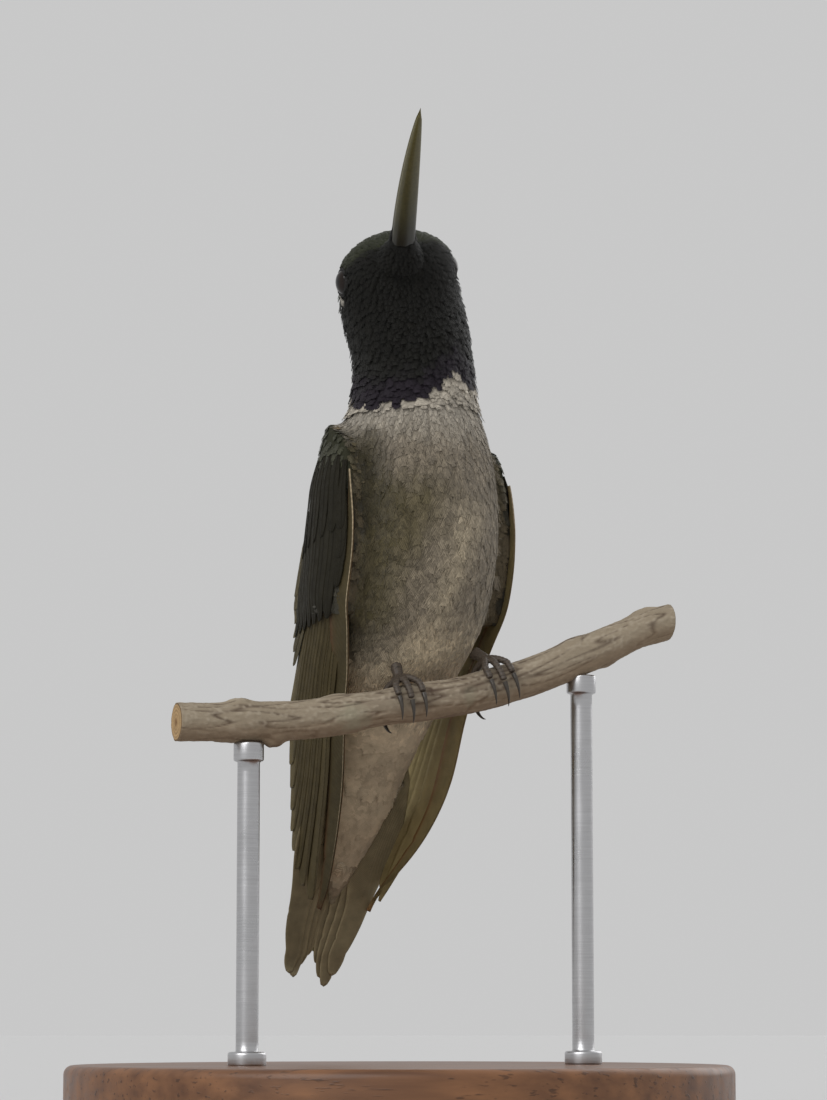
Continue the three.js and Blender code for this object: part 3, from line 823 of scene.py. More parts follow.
class Shader:
    """A new material and short ways to add nodes to it."""

    def __init__(self, name, **surface):
        self.material = bpy.data.materials.new(name)
        self.material.use_nodes = True
        self.tree = self.material.node_tree
        self.surface = self.tree.nodes["Principled BSDF"]
        self.set(self.surface, surface)

    def set(self, node, values):
        """Links each of a node's inputs to the socket given for it, or gives it that value."""
        for name, value in values.items():
            socket = node.inputs[name if isinstance(name, int) else name.replace("_", " ")]
            if isinstance(value, bpy.types.NodeSocket):
                self.tree.links.new(value, socket)
            else:
                socket.default_value = value

    def add(self, kind, settings=None, **values):
        """A new node of a kind, with its settings and the values of its inputs."""
        node = self.tree.nodes.new("ShaderNode" + kind)
        for name, value in (settings or {}).items():
            setattr(node, name, value)
        self.set(node, values)
        return node

    def math(self, operation, *values):
        """What an operation makes of one value or more."""
        node = self.add("Math", {"operation": operation})
        self.set(node, dict(enumerate(values)))
        return node.outputs[0]

    def attribute(self, name, output):
        """What the mesh holds under that name, by point."""
        return self.add("Attribute", {"attribute_name": name}).outputs[output]

    def marking(self):
        """The colour that new_object() was given at each point."""
        return self.attribute("Marking", "Color")

    def vane(self):
        """The two places on its feather, or the like, that new_object() was given at each point."""
        return self.add("SeparateXYZ", Vector=self.attribute("Vane", "Vector")).outputs[:2]

    def places(self, stretch=(1, 1, 1)):
        """The surface's own places, in metres, stretched."""
        here = self.add("TexCoord").outputs["Object"]
        return self.add("Mapping", Vector=here, Scale=stretch).outputs[0]

    def noise(self, scale, detail=3.0, stretch=(1, 1, 1)):
        """Noise from 0 to 1 with `scale` lumps to the metre."""
        made = self.add("TexNoise", Vector=self.places(stretch), Scale=scale, Detail=detail)
        return made.outputs[0]

    def between(self, value, low, high, to_low=0.0, to_high=1.0):
        """A value's way from low to high, turned to the way from to_low to to_high."""
        node = self.add("MapRange", Value=value, From_Min=low, From_Max=high)
        self.set(node, {"To Min": to_low, "To Max": to_high})
        return node.outputs[0]

    def from_noise(self, noise, low, high):
        """Noise, which keeps mostly to the middle of its range, spread from low to high."""
        return self.between(noise, 0.3, 0.7, low, high)

    def mixed(self, a, b, share, blend="MIX"):
        """Colour a turned to colour b by share."""
        node = self.add("Mix", {"data_type": "RGBA", "blend_type": blend})
        self.set(node, {0: share, 6: rgba(a), 7: rgba(b)})
        return node.outputs[2]

    def shaded(self, colour, shade):
        """A colour made lighter or darker by a factor."""
        grey = self.add("CombineXYZ", X=shade, Y=shade, Z=shade).outputs[0]
        return self.mixed(colour, grey, 1.0, "MULTIPLY")

    def finish(self, colour, relief, depth, rough=None, strength=1.0):
        """The material, with its colour, its relief so many metres deep and its roughness."""
        self.set(self.surface, {"Base Color": colour})
        if rough is not None:
            self.set(self.surface, {"Roughness": rough})
        bump = self.add("Bump", Height=relief, Distance=depth, Strength=strength)
        self.set(self.surface, {"Normal": bump.outputs[0]})
        return self.material


def feather_material(name, roughness, barbs, slant, relief, **surface):
    """A feather's web: barbs that leave the shaft at a slant, over its marking."""
    shader = Shader(name, **surface)
    u, v = shader.vane()
    across = shader.math("ABSOLUTE", shader.math("MULTIPLY_ADD", u, 2.0, -1.0))
    rise = shader.math("MULTIPLY", across, slant)
    step = shader.math("MULTIPLY", shader.math("SUBTRACT", v, rise), barbs)
    line = shader.math("SINE", shader.math("MULTIPLY", step, 2 * math.pi))
    dark = shader.between(line, -1, 1, 0.8, 1.06)
    patch = shader.from_noise(shader.noise(900, 4), 0.86, 1.14)
    colour = shader.shaded(shader.marking(), shader.math("MULTIPLY", dark, patch))
    rough = shader.from_noise(shader.noise(1500, 2), roughness - 0.08, roughness + 0.08)
    return shader.finish(colour, line, relief, rough)


def skin_material():
    """Skin in the colours of its marking."""
    shader = Shader("skin", Specular_IOR_Level=0.2)
    grain = shader.noise(3000, 4)
    colour = shader.shaded(shader.marking(), shader.from_noise(grain, 0.75, 1.1))
    return shader.finish(colour, grain, 0.00005, shader.between(grain, 0, 1, 0.7, 1))


FLAT = {"Specular_IOR_Level": 0.14}
DULL = {"Sheen_Weight": 0.15, "Specular_IOR_Level": 0.2}
SATIN = {"Specular_IOR_Level": 0.3}
GLOSSY = {"Metallic": 0.2, "Specular_IOR_Level": 0.4}
SOFT_WEB = feather_material(
    "soft_feather_web", roughness=0.82, barbs=9, slant=0.5, relief=0.00002, **DULL
)
COVERT_WEB = feather_material(
    "undertail_feather_web", roughness=0.82, barbs=26, slant=0.3, relief=0.000006, **DULL
)
GORGET_WEB = feather_material(
    "gorget_feather_web", roughness=0.6, barbs=8, slant=0.5, relief=0.00002, **SATIN
)
GLOSSY_WEB = feather_material(
    "glossy_feather_web", roughness=0.55, barbs=8, slant=0.5, relief=0.00002, **GLOSSY
)
LONG_WEB = feather_material(
    "long_feather_web", roughness=0.65, barbs=80, slant=0.12, relief=0.00001, **FLAT
)


# ---------------------------------------------------------------- the skin as a piece
SKIN_PAINTED_SHADE = 0.6  # how light the skin is beside the coat over it: painted shade, where the coat shades the skin


def make_skin_piece():
    """Makes the skin's object and returns its unwrap, by triangle corner."""
    wings = [FLESH.index(f"wing_{side}_coverts") for side in SIDES]
    on_wing = np.isin(SKIN_SOLID, wings).astype(float)
    # the skin's marking, darkened as painted shade under the coat
    shade = SKIN_PAINTED_SHADE * blend(marking(SKIN), wing_marking(SKIN), on_wing)
    skin = new_object("skin", SKIN, SKIN_FACES, skin_material(), "body_feathers", shade)
    bpy.context.view_layer.objects.active = skin
    skin.select_set(True)
    skin.data.uv_layers.new(name="OFBake")
    bpy.ops.object.mode_set(mode="EDIT")
    bpy.ops.mesh.select_all(action="SELECT")
    bpy.ops.uv.smart_project(angle_limit=math.radians(60), island_margin=0.002)
    bpy.ops.object.mode_set(mode="OBJECT")
    skin.select_set(False)
    uv = np.empty(6 * len(SKIN_FACES), np.float32)
    skin.data.uv_layers["OFBake"].data.foreach_get("uv", uv)
    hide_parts(*FLESH)
    return uv.reshape(-1, 3, 2)


SKIN_UV = make_skin_piece()

# ---------------------------------------------------------------- the coat
TUFT_PATCH = 0.003  # each feather's size on the unwrap
MOST_TRIANGLES = 190_000  # in one piece of coat
# Where a feather's control points lie: shares of its length and of its half width.
V_KNOTS = (0.0, 0.5, 1.0)
U_KNOTS = (-1.0, 0.0, 1.0)
ROOT_SINK = 0.12  # how deep its root lies in the skin
STRAY = 0.09  # how far, in radians, feathers stray from the way the coat lies


def under_wing(points, normals, reach=3.0):
    """Which points a folded wing hides."""
    hidden = np.zeros(len(points), bool)
    for i, (point, normal) in enumerate(zip(points, normals)):
        start, ray = Vector(point), Vector(normal)
        hidden[i] = any(tree.ray_cast(start, ray, reach)[0] is not None for tree in WING_TREES)
    return hidden


def at_roots(by_corner, roots):
    """The value at each root of what is given by triangle and corner."""
    faces, shares = roots
    return (by_corner[faces] * shares[..., None]).sum(axis=1)


def lay_feathers(roots, length, width):
    """Each feather's control points over the skin and the normals there: 3 along by 3 across."""
    base = at_roots(SKIN[SKIN_FACES], roots)
    normal = unit(at_roots(SKIN_NORMALS[SKIN_FACES], roots))
    way = lie(base, normal)
    turn = random.normal(0, STRAY, len(base))[:, None]
    way = unit(way + np.cross(normal, way) * turn)
    rows, row_normals = [base], [normal]
    for _ in V_KNOTS[1:]:
        row, normal = on_skin(rows[-1] + way * (length / 2)[:, None])
        rows.append(row)
        row_normals.append(normal)
        way = unit(way - normal * (way * normal).sum(axis=1)[:, None])
    grid, grid_normals = [], []
    for k, row in enumerate(rows):
        direction = rows[min(k + 1, 2)] - rows[max(k - 1, 0)]
        side = unit(np.cross(row_normals[k], direction))
        for u in U_KNOTS:
            place, normal = on_skin(row + side * (u * width / 2)[:, None])
            grid.append(place)
            grid_normals.append(normal)
    return np.stack(grid, axis=1), np.stack(grid_normals, axis=1)


def lies_true(grid, length, width):
    """Which feathers keep their length and width, where no sharp edge of the skin bends them."""
    run = np.linalg.norm(grid[:, 7] - grid[:, 1], axis=1)
    spans = np.linalg.norm(grid[:, [2, 5, 8]] - grid[:, [0, 3, 6]], axis=2)
    true = (run > 0.8 * length) & (spans.max(axis=1) < 1.25 * width)
    return true & (spans.min(axis=1) > 0.7 * width)


@dataclass
class Look:
    """What the feathers of a tract have in common."""

    kinds: list  # of Template
    material: bpy.types.Material
    slot: str
    streaks: float = 0.2  # how unlike its barbs are
    root: float = 0.6  # how light its root is, beside its tip: its grey down, and painted shade under the feathers over it
    edge: float = 0.0  # how much paler its edge is
    curl: float = 0.25  # how much its sides turn down
    soft: float = 0.0  # how far it takes on the shading of the body beneath
    uneven: float = 0.06  # how unlike the feathers' colours are

    def tones(self, kind):
        """How light each point of a template is, with its root darker from its grey down and painted
        shade.
        """
        tone = 1 + self.streaks * (2 * kind.tone - 1)
        tone = tone * mix(self.root, 1.0, smoothstep(0.1, 0.6, kind.v))
        rim = smoothstep(0.55, 0.95, np.maximum(np.abs(kind.u), kind.v))
        return tone * (1 + self.edge * rim)


def laid(kind, grid, normals, lift, curl):
    """A template's points laid over each feather's control points, and the way out at each."""
    u, v = kind.u, kind.v
    weights = quadratic(v, V_KNOTS)[:, :, None] * quadratic(u, U_KNOTS)[:, None, :]
    weights = weights.reshape(len(u), 9)
    rise = v**1.2 - curl * u**2 * v + 0.12 * (kind.tone - 0.5) * v
    height = lift[:, None] * rise - ROOT_SINK * (1 - v) ** 2
    outward = unit(np.einsum("pk,nkc->npc", weights, normals))
    return np.einsum("pk,nkc->npc", weights, grid) + outward * height[..., None], outward


def grow(name, grid, normals, lift, skin_uv, colours, look):
    """A piece of coat, or more where one would be too large, over each feather's control points.

    skin_uv and colours are each feather's place on the unwrap and its colour.
    """
    kind_of = random.integers(len(look.kinds), size=len(grid))
    heaviest = max(len(kind.triangles) for kind in look.kinds)
    groups = math.ceil(len(grid) * heaviest / MOST_TRIANGLES)
    order = np.argsort(BIRD.local(grid[:, 1])[:, 0])
    for number, members in enumerate(np.array_split(order, groups)):
        parts, columns = [], []
        for index, kind in enumerate(look.kinds):
            mine = members[kind_of[members] == index]
            points, outward = laid(kind, grid[mine], normals[mine], lift[mine], look.curl)
            starts = np.arange(len(mine))[:, None, None] * len(kind.u)
            parts.append((points.reshape(-1, 3), (kind.triangles + starts).reshape(-1, 3)))
            colour = colours[mine, None] * look.tones(kind)[:, None]
            vane = np.stack([kind.u / 2 + 0.5, kind.v, kind.tone], axis=1)
            vane = np.tile(vane, (len(mine), 1))
            patch = np.stack([kind.u / 2, kind.v - 0.5], axis=1) * TUFT_PATCH
            patch = skin_uv[mine, None] + patch
            outward = outward.reshape(-1, 3)
            columns.append((colour.reshape(-1, 3), vane, patch.reshape(-1, 2), outward))
        points, triangles = join_meshes(parts)
        label = name if groups == 1 else f"{name}_{number + 1}"
        marks, vanes, patches, outward = (np.concatenate(rows) for rows in zip(*columns))
        own = normals_of(points, triangles)
        own *= np.where((own * outward).sum(axis=1) < 0, -1, 1)[:, None]
        shading = unit(mix(own, outward, look.soft))
        made = label, points, triangles, look.material, look.slot
        new_object(*made, marks, vanes, patches, shading)


def cover(name, chosen, spacing, size, colour_of, look):
    """A tract of feathers over the chosen triangles of the skin.

    spacing is given by point of the skin. size gives the feathers' lengths, widths and lifts at
    their roots, and colour_of their colours.
    """
    roots = scatter(np.flatnonzero(chosen), spacing)
    length, width, lift = size(at_roots(SKIN[SKIN_FACES], roots))
    length = length * random.normal(1, 0.08, len(length))
    width = width * random.normal(1, 0.08, len(length))
    lift = lift * random.normal(1, 0.15, len(length))
    grid, normals = lay_feathers(roots, length, width)
    kept = lies_true(grid, length, width)
    grid, normals, lift = grid[kept], normals[kept], lift[kept]
    skin_uv = at_roots(SKIN_UV, roots)[kept]
    colours = colour_of(mix(grid[:, 4], grid[:, 7], 0.5))
    colours = colours * random.normal(1, look.uneven, len(grid))[:, None]
    grow(name, grid, normals, lift, skin_uv, colours, look)


def templates(count, shape):
    """So many templates of one shape, which differ in their barbs."""
    return [Template(**shape) for _ in range(count)]


# The skin's triangles: their middles, their smooth normals and the solids that they stand for.
FACE_MIDDLES = SKIN[SKIN_FACES].mean(axis=1)
FACE_NORMALS = unit(SKIN_NORMALS[SKIN_FACES].mean(axis=1))
FACE_SOLID = SKIN_SOLID[SKIN_FACES[:, 0]]
EYE_OPENING = 1.18  # the radius that the lids leave open
EYE_BARE = 1.6  # no feather is rooted nearer to the eye's middle
GORGET_HEIGHT = 8.0  # how far up the gorget's scales reach from its edge
COLLAR_TO_BODY = (8, -2)  # the heights over which the collar's small feathers grow to the breast's
GREEN_BACK = 120  # degrees round from the front where the back's feathers start


def on(*solids):
    """Which triangles of the skin stand for these solids."""
    return np.isin(FACE_SOLID, [FLESH.index(name) for name in solids])


def eye_gap(points):
    """How far each point is from the middle of the nearer eye."""
    gaps = [np.linalg.norm(points - CENTRE[f"eye_{side}"], axis=1) for side in SIDES]
    return np.min(gaps, axis=0)


def behind_bill(points):
    """How far back from the bill's root a point of the head or neck lies."""
    return np.clip(-HEAD.local(points)[:, 0], 0, 14)


def head_spacing(points):
    """How far apart the head's feathers grow."""
    return 0.25 + 0.02 * behind_bill(points)


def head_size(points):
    """The head's feathers: small at the bill and round the eyes, larger down the neck."""
    back = behind_bill(points)
    length = 0.82 + 0.1 * back
    length = length * mix(0.5, 1.0, smoothstep(1.6, 3.2, eye_gap(points)))
    return length, 0.6 * length, mix(0.13, 0.34, smoothstep(0, 10, back))


def body_spacing(points):
    """How far apart the body's feathers grow."""
    up = height_of(points)
    return mix(0.36, 0.45, smoothstep(*COLLAR_TO_BODY, up)) + 0.14 * smoothstep(-19, -26, up)


def body_size(points):
    """The body's feathers: longer and broader downwards."""
    up = height_of(points)
    length = mix(2.0, 3.2, smoothstep(*COLLAR_TO_BODY, up)) + 1.4 * smoothstep(-17, -24, up)
    lift = mix(0.1, 0.17, smoothstep(6, -10, up))
    return length, mix(0.34, 0.42, smoothstep(8, -6, up)) * length, lift


def wing_covert_size(points):
    """The wings' small coverts: longer downwards, short and flat against the body."""
    up = height_of(points)
    inner = on_wing_underside(points)
    length = mix(1.3, 2.4, smoothstep(6, -3, up)) * mix(1, 0.55, inner)
    return length, 0.62 * length, mix(0.16, 0.06, inner)


VENT_TOP = -19.5  # where the loose feathers of the belly give way to the vent's smooth ones
UNDERTAIL_ROOTS = 16.0  # no feather starts further down the tail than this


def tail_covert_size(points):
    """The coverts under and over the tail's root."""
    down = TAIL.local(points)[:, 0]
    length = mix(4.0, 3.4, smoothstep(8, 14, down))
    lift = mix(0.1, 0.2, smoothstep(-0.5, 0.5, TAIL.local(points)[:, 2]))
    return length, 0.4 * length, lift


def away_from_tail(solid):
    """Which triangles of the skin face the way that this solid lies from the tail."""
    out = TAIL.turn[2] * np.sign(TAIL.local(CENTRE[solid])[2])
    least = 0.15 if solid == "undertail_coverts" else -0.5
    return FACE_NORMALS @ out > least


def even(gap):
    """The same spacing at every point of the skin."""
    return np.full(len(SKIN), gap)


# The small feathers' shapes.
TINY = {"barbs": 5, "steps": 2, "fringe": 0.4, "sweep": 0.5}
SCALE = {"barbs": 7, "steps": 2, "fringe": 0.25, "sweep": 0.42}
LOOSE = {"barbs": 8, "steps": 3, "fringe": 0.8, "sweep": 0.62, "ragged": 0.16}
FIRM = {"barbs": 8, "steps": 3, "fringe": 0.35, "sweep": 0.45}
BROAD = {"barbs": 11, "steps": 3, "fringe": 0.1, "sweep": 0.36, "ragged": 0.04}
SHORT = {"barbs": 8, "steps": 2, "fringe": 0.3, "sweep": 0.4}
# The looks that downy feathers share, and that smooth ones change.
DOWN = {"soft": 0.93, "streaks": 0.26, "uneven": 0.07, "root": 0.93, "curl": 0.05}


def make_head_coat():
    """The face, crown, gorget and collar."""
    on_head = on("head", "neck") & (eye_gap(FACE_MIDDLES) > EYE_BARE)
    crown = is_crown(FACE_MIDDLES) > 0.5
    gorget = ~crown & (hood(FACE_MIDDLES) < GORGET_HEIGHT)
    collar = ~crown & (hood(FACE_MIDDLES) < 0)
    small = templates(6, TINY)
    scale = templates(6, SCALE)
    loose = templates(8, LOOSE)
    gap = head_spacing(SKIN)
    tracts = (
        ("face", ~crown & ~gorget, Look(small, GORGET_WEB, "head_feathers", soft=0.4)),
        ("crown", crown, Look(scale, GLOSSY_WEB, "head_feathers", soft=0.3)),
        ("gorget", gorget & ~collar, Look(scale, GORGET_WEB, "gorget_feathers", soft=0.2)),
        ("collar", collar, Look(loose, SOFT_WEB, "body_feathers", **DOWN)),
    )
    for name, chosen, look in tracts:
        cover(f"{name}_feathers", on_head & chosen, gap, head_size, marking, look)


def make_body_coat():
    """The breast and belly, the back, the vent, and the coverts under and over the tail."""
    body = on("trunk")
    body[body] = ~under_wing(FACE_MIDDLES[body] - 0.2 * FACE_NORMALS[body], FACE_NORMALS[body])
    green = body & (np.abs(azimuth(FACE_MIDDLES)) > GREEN_BACK)
    low = height_of(FACE_MIDDLES) < VENT_TOP
    gap = body_spacing(SKIN)
    loose, firm = templates(10, LOOSE), templates(6, FIRM)
    downy = Look(loose, SOFT_WEB, "body_feathers", **DOWN)
    cover("breast_feathers", body & ~green & ~low, gap, body_size, marking, downy)
    glossy = Look(firm, GLOSSY_WEB, "back_feathers", soft=0.3, edge=0.15)
    cover("back_feathers", green, 1.25 * gap, body_size, marking, glossy)
    smooth = {**DOWN, "edge": 0.06, "streaks": 0.05, "soft": 0.97}
    under = Look(templates(8, BROAD), COVERT_WEB, "body_feathers", **smooth)
    cover("vent_feathers", body & ~green & low, gap, body_size, marking, under)
    rooted = TAIL.local(FACE_MIDDLES)[:, 0] < UNDERTAIL_ROOTS
    vent = on("undertail_coverts") & rooted & away_from_tail("undertail_coverts")
    cover("undertail_feathers", vent, even(0.65), tail_covert_size, undertail_marking, under)
    over = Look(firm, GLOSSY_WEB, "back_feathers", soft=0.2, edge=0.1)
    rump = on("uppertail_coverts") & away_from_tail("uppertail_coverts")
    cover("uppertail_feathers", rump, even(0.9), tail_covert_size, marking, over)


def make_wing_coat():
    """The folded wings' small coverts."""
    look = Look(templates(6, SHORT), GLOSSY_WEB, "wing_feathers", soft=0.3, edge=0.25)
    for side in SIDES:
        name = f"wing_{side}_small_coverts"
        chosen = on(f"wing_{side}_coverts")
        cover(name, chosen, even(0.5), wing_covert_size, wing_marking, look)


make_head_coat()
make_body_coat()
make_wing_coat()

# ---------------------------------------------------------------- long feathers
STATIONS = 64  # rows of points along a long feather
HALF_RING = 11  # points across its upper side, and as many across its lower
SHAFT_AROUND = 6
WEB = 0.07  # its web's thickness
FAR_ROOM = 0.04  # how far from the sheet's far edge it stops, unless it spills
MAP_CELLS = 8  # long feathers side by side on their bake map


@dataclass
class Plume:
    """The shape and colour of one long feather of a wing or tail, over a sheet.

    It runs from one level to another, with its shaft from one share of the sheet's breadth to
    another. lead and trail are its vanes' widths, over its shaft's height over the sheet.
    """

    levels: tuple
    shares: tuple
    lead: float
    trail: float
    over: float
    colour: np.ndarray
    bend: float = 1.5  # more than 1 bends the shaft near its tip
    point: float = 2.4  # more makes the tip blunter
    tilt: float = 0.045  # how far the trailing vane dips under the next feather
    shaft: float = 0.09  # its shaft's radius at the base
    shaft_colour: np.ndarray = None
    rim: float = 0.5  # how far its edges take on the rim's colour
    rim_colour: np.ndarray = None
    beyond: float = 0.0  # how far its lead vane passes the sheet's edge
    spill: float = 0.0  # how far its trailing vane passes the other edge, towards the tip
    flare: float = 0.0  # how far it swells past the sheet above its middle
    under: float = 1.3  # how much paler its lower side is: its own paler underside, and painted light where it lies in shade
    sheen: float = 0.0  # painted sheen: how much paler it is along the sheet's far edge
    base: float = 0.55  # share of its breadth that it starts with
    higher: float = 0.0  # how much higher its base lies than the rest
    settled: float = 14.0  # the level where that ends

    def __post_init__(self):
        if self.shaft_colour is None:
            self.shaft_colour = 0.7 * self.colour
        if self.rim_colour is None:
            self.rim_colour = 1.5 * self.colour

    def nicked(self, t):
        """1 along a vane, less where its barbs have parted."""
        whole = np.ones_like(t)
        for _ in range(random.integers(1, 4)):
            at = random.uniform(0.35, 0.97)
            deep = random.uniform(0.06, 0.2)
            whole -= deep * np.exp(-(((t - at) / 0.008) ** 2))
        return np.maximum(whole, 0.3)

    def rows(self, sheet):
        """Shares along and across, points' levels, places across and heights, the shaft's place."""
        t = np.linspace(0, 1, STATIONS)
        along = mix(*self.levels, t)
        near, far = sheet.sides(along)
        shaft = mix(near, far, mix(*self.shares, t**self.bend))
        taper = mix(self.base, 1, smoothstep(0, 0.3, t)) * (1 - t ** (3 * self.point)) ** (1 / 2)
        q = np.linspace(-1, 1, HALF_RING)
        swell = self.flare * smoothstep(0.0, 0.15, t) * smoothstep(0.72, 0.35, t)
        widths = np.where(q[None] < 0, self.lead, self.trail) * taper[:, None] + swell[:, None]
        widths = widths * np.where(q[None] < 0, *(self.nicked(t)[:, None] for _ in range(2)))
        across = shaft[:, None] + q * widths
        spill = self.spill * smoothstep(0.2, 0.7, t)
        least = near - self.beyond - swell
        most = np.maximum(far - FAR_ROOM, near) + spill + swell
        across = np.clip(across, least[:, None], most[:, None])
        run = np.abs(across - shaft[:, None])
        along = along[:, None] + 0.45 * run * smoothstep(0, 0.15, t)[:, None]
        along = np.minimum(along, self.levels[1] + 0.02 * run)
        dip = -self.tilt * (across - shaft[:, None]) - 0.015 * run**2
        return t, q, along, across, self.height(along) + dip, shaft

    def height(self, along):
        """Its shaft's height over the sheet."""
        return self.over + self.higher * smoothstep(self.settled, self.settled - 5, along)

    def web_colours(self, sheet, along, across, web, tone):
        """Painted sheen along the sheet's far edge, a paler lower side from its own colour and
        painted light, and the rim's own at the rim.
        """
        near, far = sheet.sides(along)
        share = (across - near) / np.maximum(far - near, 0.1)
        glint = 1 + self.sheen * smoothstep(0.84, 1.0, share)
        light = np.concatenate([glint, glint[:, ::-1] * self.under], axis=1).reshape(-1)
        light = np.concatenate([light, [1, 1]])
        edge = smoothstep(0.72, 1.0, np.abs(2 * web[:, 0] - 1)) + smoothstep(0.96, 1.0, web[:, 1])
        colours = blend(self.colour + 0 * web, self.rim_colour, self.rim * np.minimum(edge, 1))
        return colours * (0.92 + 0.16 * tone) * light[:, None]

    def made(self, sheet, number):
        """The feather's points, triangles, colours, places on its web and on the bake map."""
        t, q, along, across, height, shaft = self.rows(sheet)
        thick = WEB * np.sqrt(np.maximum(1 - 0.96 * q**2, 0))
        upper = sheet.place(along, across, height + thick / 2)
        lower = sheet.place(along, across, height - thick / 2)
        vanes = ring_mesh(np.concatenate([upper, lower[:, ::-1]], axis=1))
        tone = random.random()
        both = np.concatenate([q, q[::-1]])
        web = np.stack(np.broadcast_arrays(both / 2 + 0.5, t[:, None], tone), -1).reshape(-1, 3)
        web = np.concatenate([web, web[[0, -1]]])
        colours = self.web_colours(sheet, along, across, web, tone)
        ridge, ridge_t = self.ridge(sheet, t, shaft)
        points, triangles = join_meshes([vanes, ridge])
        ridge_web = np.stack(np.broadcast_arrays(0.5, ridge_t, tone), -1)
        fade = smoothstep(0.75, 1, ridge_t)
        ridge_colours = blend(self.shaft_colour + 0 * ridge_web, self.colour, fade)
        web = np.concatenate([web, ridge_web])
        row, column = divmod(number, MAP_CELLS)
        uv = (np.array([column, row]) + 0.05 + 0.9 * web[:, :2]) / MAP_CELLS
        return points, triangles, np.concatenate([colours, ridge_colours]), web, uv

    def ridge(self, sheet, t, shaft):
        """The shaft as a tapered rod along the web, and its points' shares of the way along."""
        along = mix(*self.levels, t) - 0.02
        radius = self.shaft * (1 - 0.6 * t)[:, None]
        turn = circle(SHAFT_AROUND)
        across = shaft[:, None] + radius * np.cos(turn)
        height = self.height(along)[:, None] + 0.3 * WEB + 0.9 * radius * np.sin(turn)
        rings = sheet.place(np.repeat(along[:, None], SHAFT_AROUND, 1), across, height)
        return ring_mesh(rings), np.concatenate([np.repeat(t, SHAFT_AROUND), [0, 1]])


def long_feathers(name, sheet, plumes, slot):
    """One piece of the model from several long feathers."""
    made = [plume.made(sheet, number) for number, plume in enumerate(plumes)]
    points, triangles = join_meshes([one[:2] for one in made])
    if (normals_of(points, triangles) * sheet.axes.turn[2]).sum() < 0:
        triangles = triangles[:, ::-1]
    colours, webs, uvs = (np.concatenate([one[k] for one in made]) for k in (2, 3, 4))
    return new_object(name, points, triangles, LONG_WEB, slot, colours, webs, uvs)


PRIMARY = paint(80, 71, 48)
SECONDARY = paint(76, 69, 50)
GREATER = paint(40, 37, 27)
CREAM = paint(158, 142, 116)
RUSSET = paint(92, 66, 42)  # the edges of the outermost primary
# Where rows of feathers end at their first feather, down from the shoulders.
SECONDARY_END = 15.8
COVERT_END = 12.3
SHORT_COVERT_END = 4.6
EDGE_COVERT_END = 9.6  # the coverts along the leading edge
PRIMARY_ENDS = (0.22, 0.5, 0.7, 0.82, 0.89, 0.93)  # shares of the breadth where their tips lie


def primaries(side):
    """Ten, from the long outermost one at the wing's leading edge and inward."""
    # painted light: their lower sides made much paler, the left wing's most, as they lie in shade
    # inside the fold
    under = 3.0 if side == "right" else 4.6
    plumes = []
    for number in range(10):
        tip = WING_TIP - 0.9 * number**1.3
        shares = (0.035 + 0.05 * number, PRIMARY_ENDS[min(number, 5)])
        over = -0.5 + 0.035 * number
        # sheen is painted sheen along the wing's far edge
        look = {"bend": 1.6, "spill": 0.3, "sheen": 0.5, "under": under}
        plumes.append(Plume((4.0, tip), shares, 0.42, 2.6, over, PRIMARY, **look))
    return [outermost_primary(side, plumes[0])] + plumes[1:]


def outermost_primary(side, usual):
    """The folded wing's leading edge: long and bare, with a cream shaft and a russet rim."""
    if side == "right":
        own = {"shares": (-0.035, PRIMARY_ENDS[0]), "bend": 4.5, "higher": 0.45}
        # painted shade: the same feather made darker on this wing
        own["colour"] = 0.8 * PRIMARY
    else:  # its tip turns in to the tail
        own = {"shares": (-0.035, 1.05), "bend": 9.0, "spill": 1.4, "higher": 0.15}
        # painted light: made lighter on this wing, where it lies in shade
        own["colour"] = 1.1 * PRIMARY
    return replace(
        usual,
        levels=(-1.0, WING_TIP),
        lead=0.2,
        trail=3.0,
        shaft=0.08,
        shaft_colour=CREAM,
        rim=1.0,
        rim_colour=RUSSET,
        beyond=0.6,
        # painted light on its lower side, which lies in shade
        under=3.2,
        base=0.1,
        settled=18.0,
        **own,
    )


def secondaries():
    """Six, from the outermost and inward, ever shorter."""
    plumes = []
    for number in range(6):
        tip = SECONDARY_END - 1.3 * number
        shares = (0.52 + 0.07 * number, 0.9 + 0.015 * number)
        over = -0.1 + 0.03 * number
        # sheen is painted sheen along the wing's far edge
        look = {"point": 1.6, "sheen": 0.6}
        plumes.append(Plume((3.0, tip), shares, 1.1, 1.7, over, SECONDARY, **look))
    return plumes


def covert(start, end, share, lead, trail, over, **look):
    """A covert, with its base tucked under the feathers above it."""
    shares = (share, share + 0.03)
    look = {"higher": -0.55, "settled": start + 3.5, "rim": 0.25, "tilt": 0.03, **look}
    return Plume((start, end), shares, lead, trail, over, GREATER, **look)


def greater_coverts():
    """Long parallel feathers that end in a slanted row, and shorter ones over their bases.

    The last three lie along the leading edge.
    """
    plumes = []
    for number in range(7):
        end = COVERT_END + 0.15 * number
        plumes.append(covert(0.0, end, 0.16 + 0.112 * number, 0.75, 1.2, 0.05, point=1.5))
    for number in range(6):
        end = SHORT_COVERT_END + 0.3 * number
        plumes.append(covert(-3.0, end, 0.15 + 0.125 * number, 0.65, 0.9, 0.14, point=1.3))
    for number in range(3):
        end = EDGE_COVERT_END - 2.6 * number
        plumes.append(covert(-2.0, end, 0.055, 0.5, 0.9, 0.1 + 0.04 * number))
    return plumes


def make_wings():
    """The folded wings' long feathers."""
    for side in SIDES:
        kinds = {
            "primaries": primaries(side),
            "secondaries": secondaries(),
            "greater_coverts": greater_coverts(),
        }
        for kind, plumes in kinds.items():
            name = f"wing_{side}_{kind}"
            wing = long_feathers(name, WING_SHEETS[side], plumes, "wing_feathers")
            if kind == "primaries":
                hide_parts(f"wing_{side}_feathers")


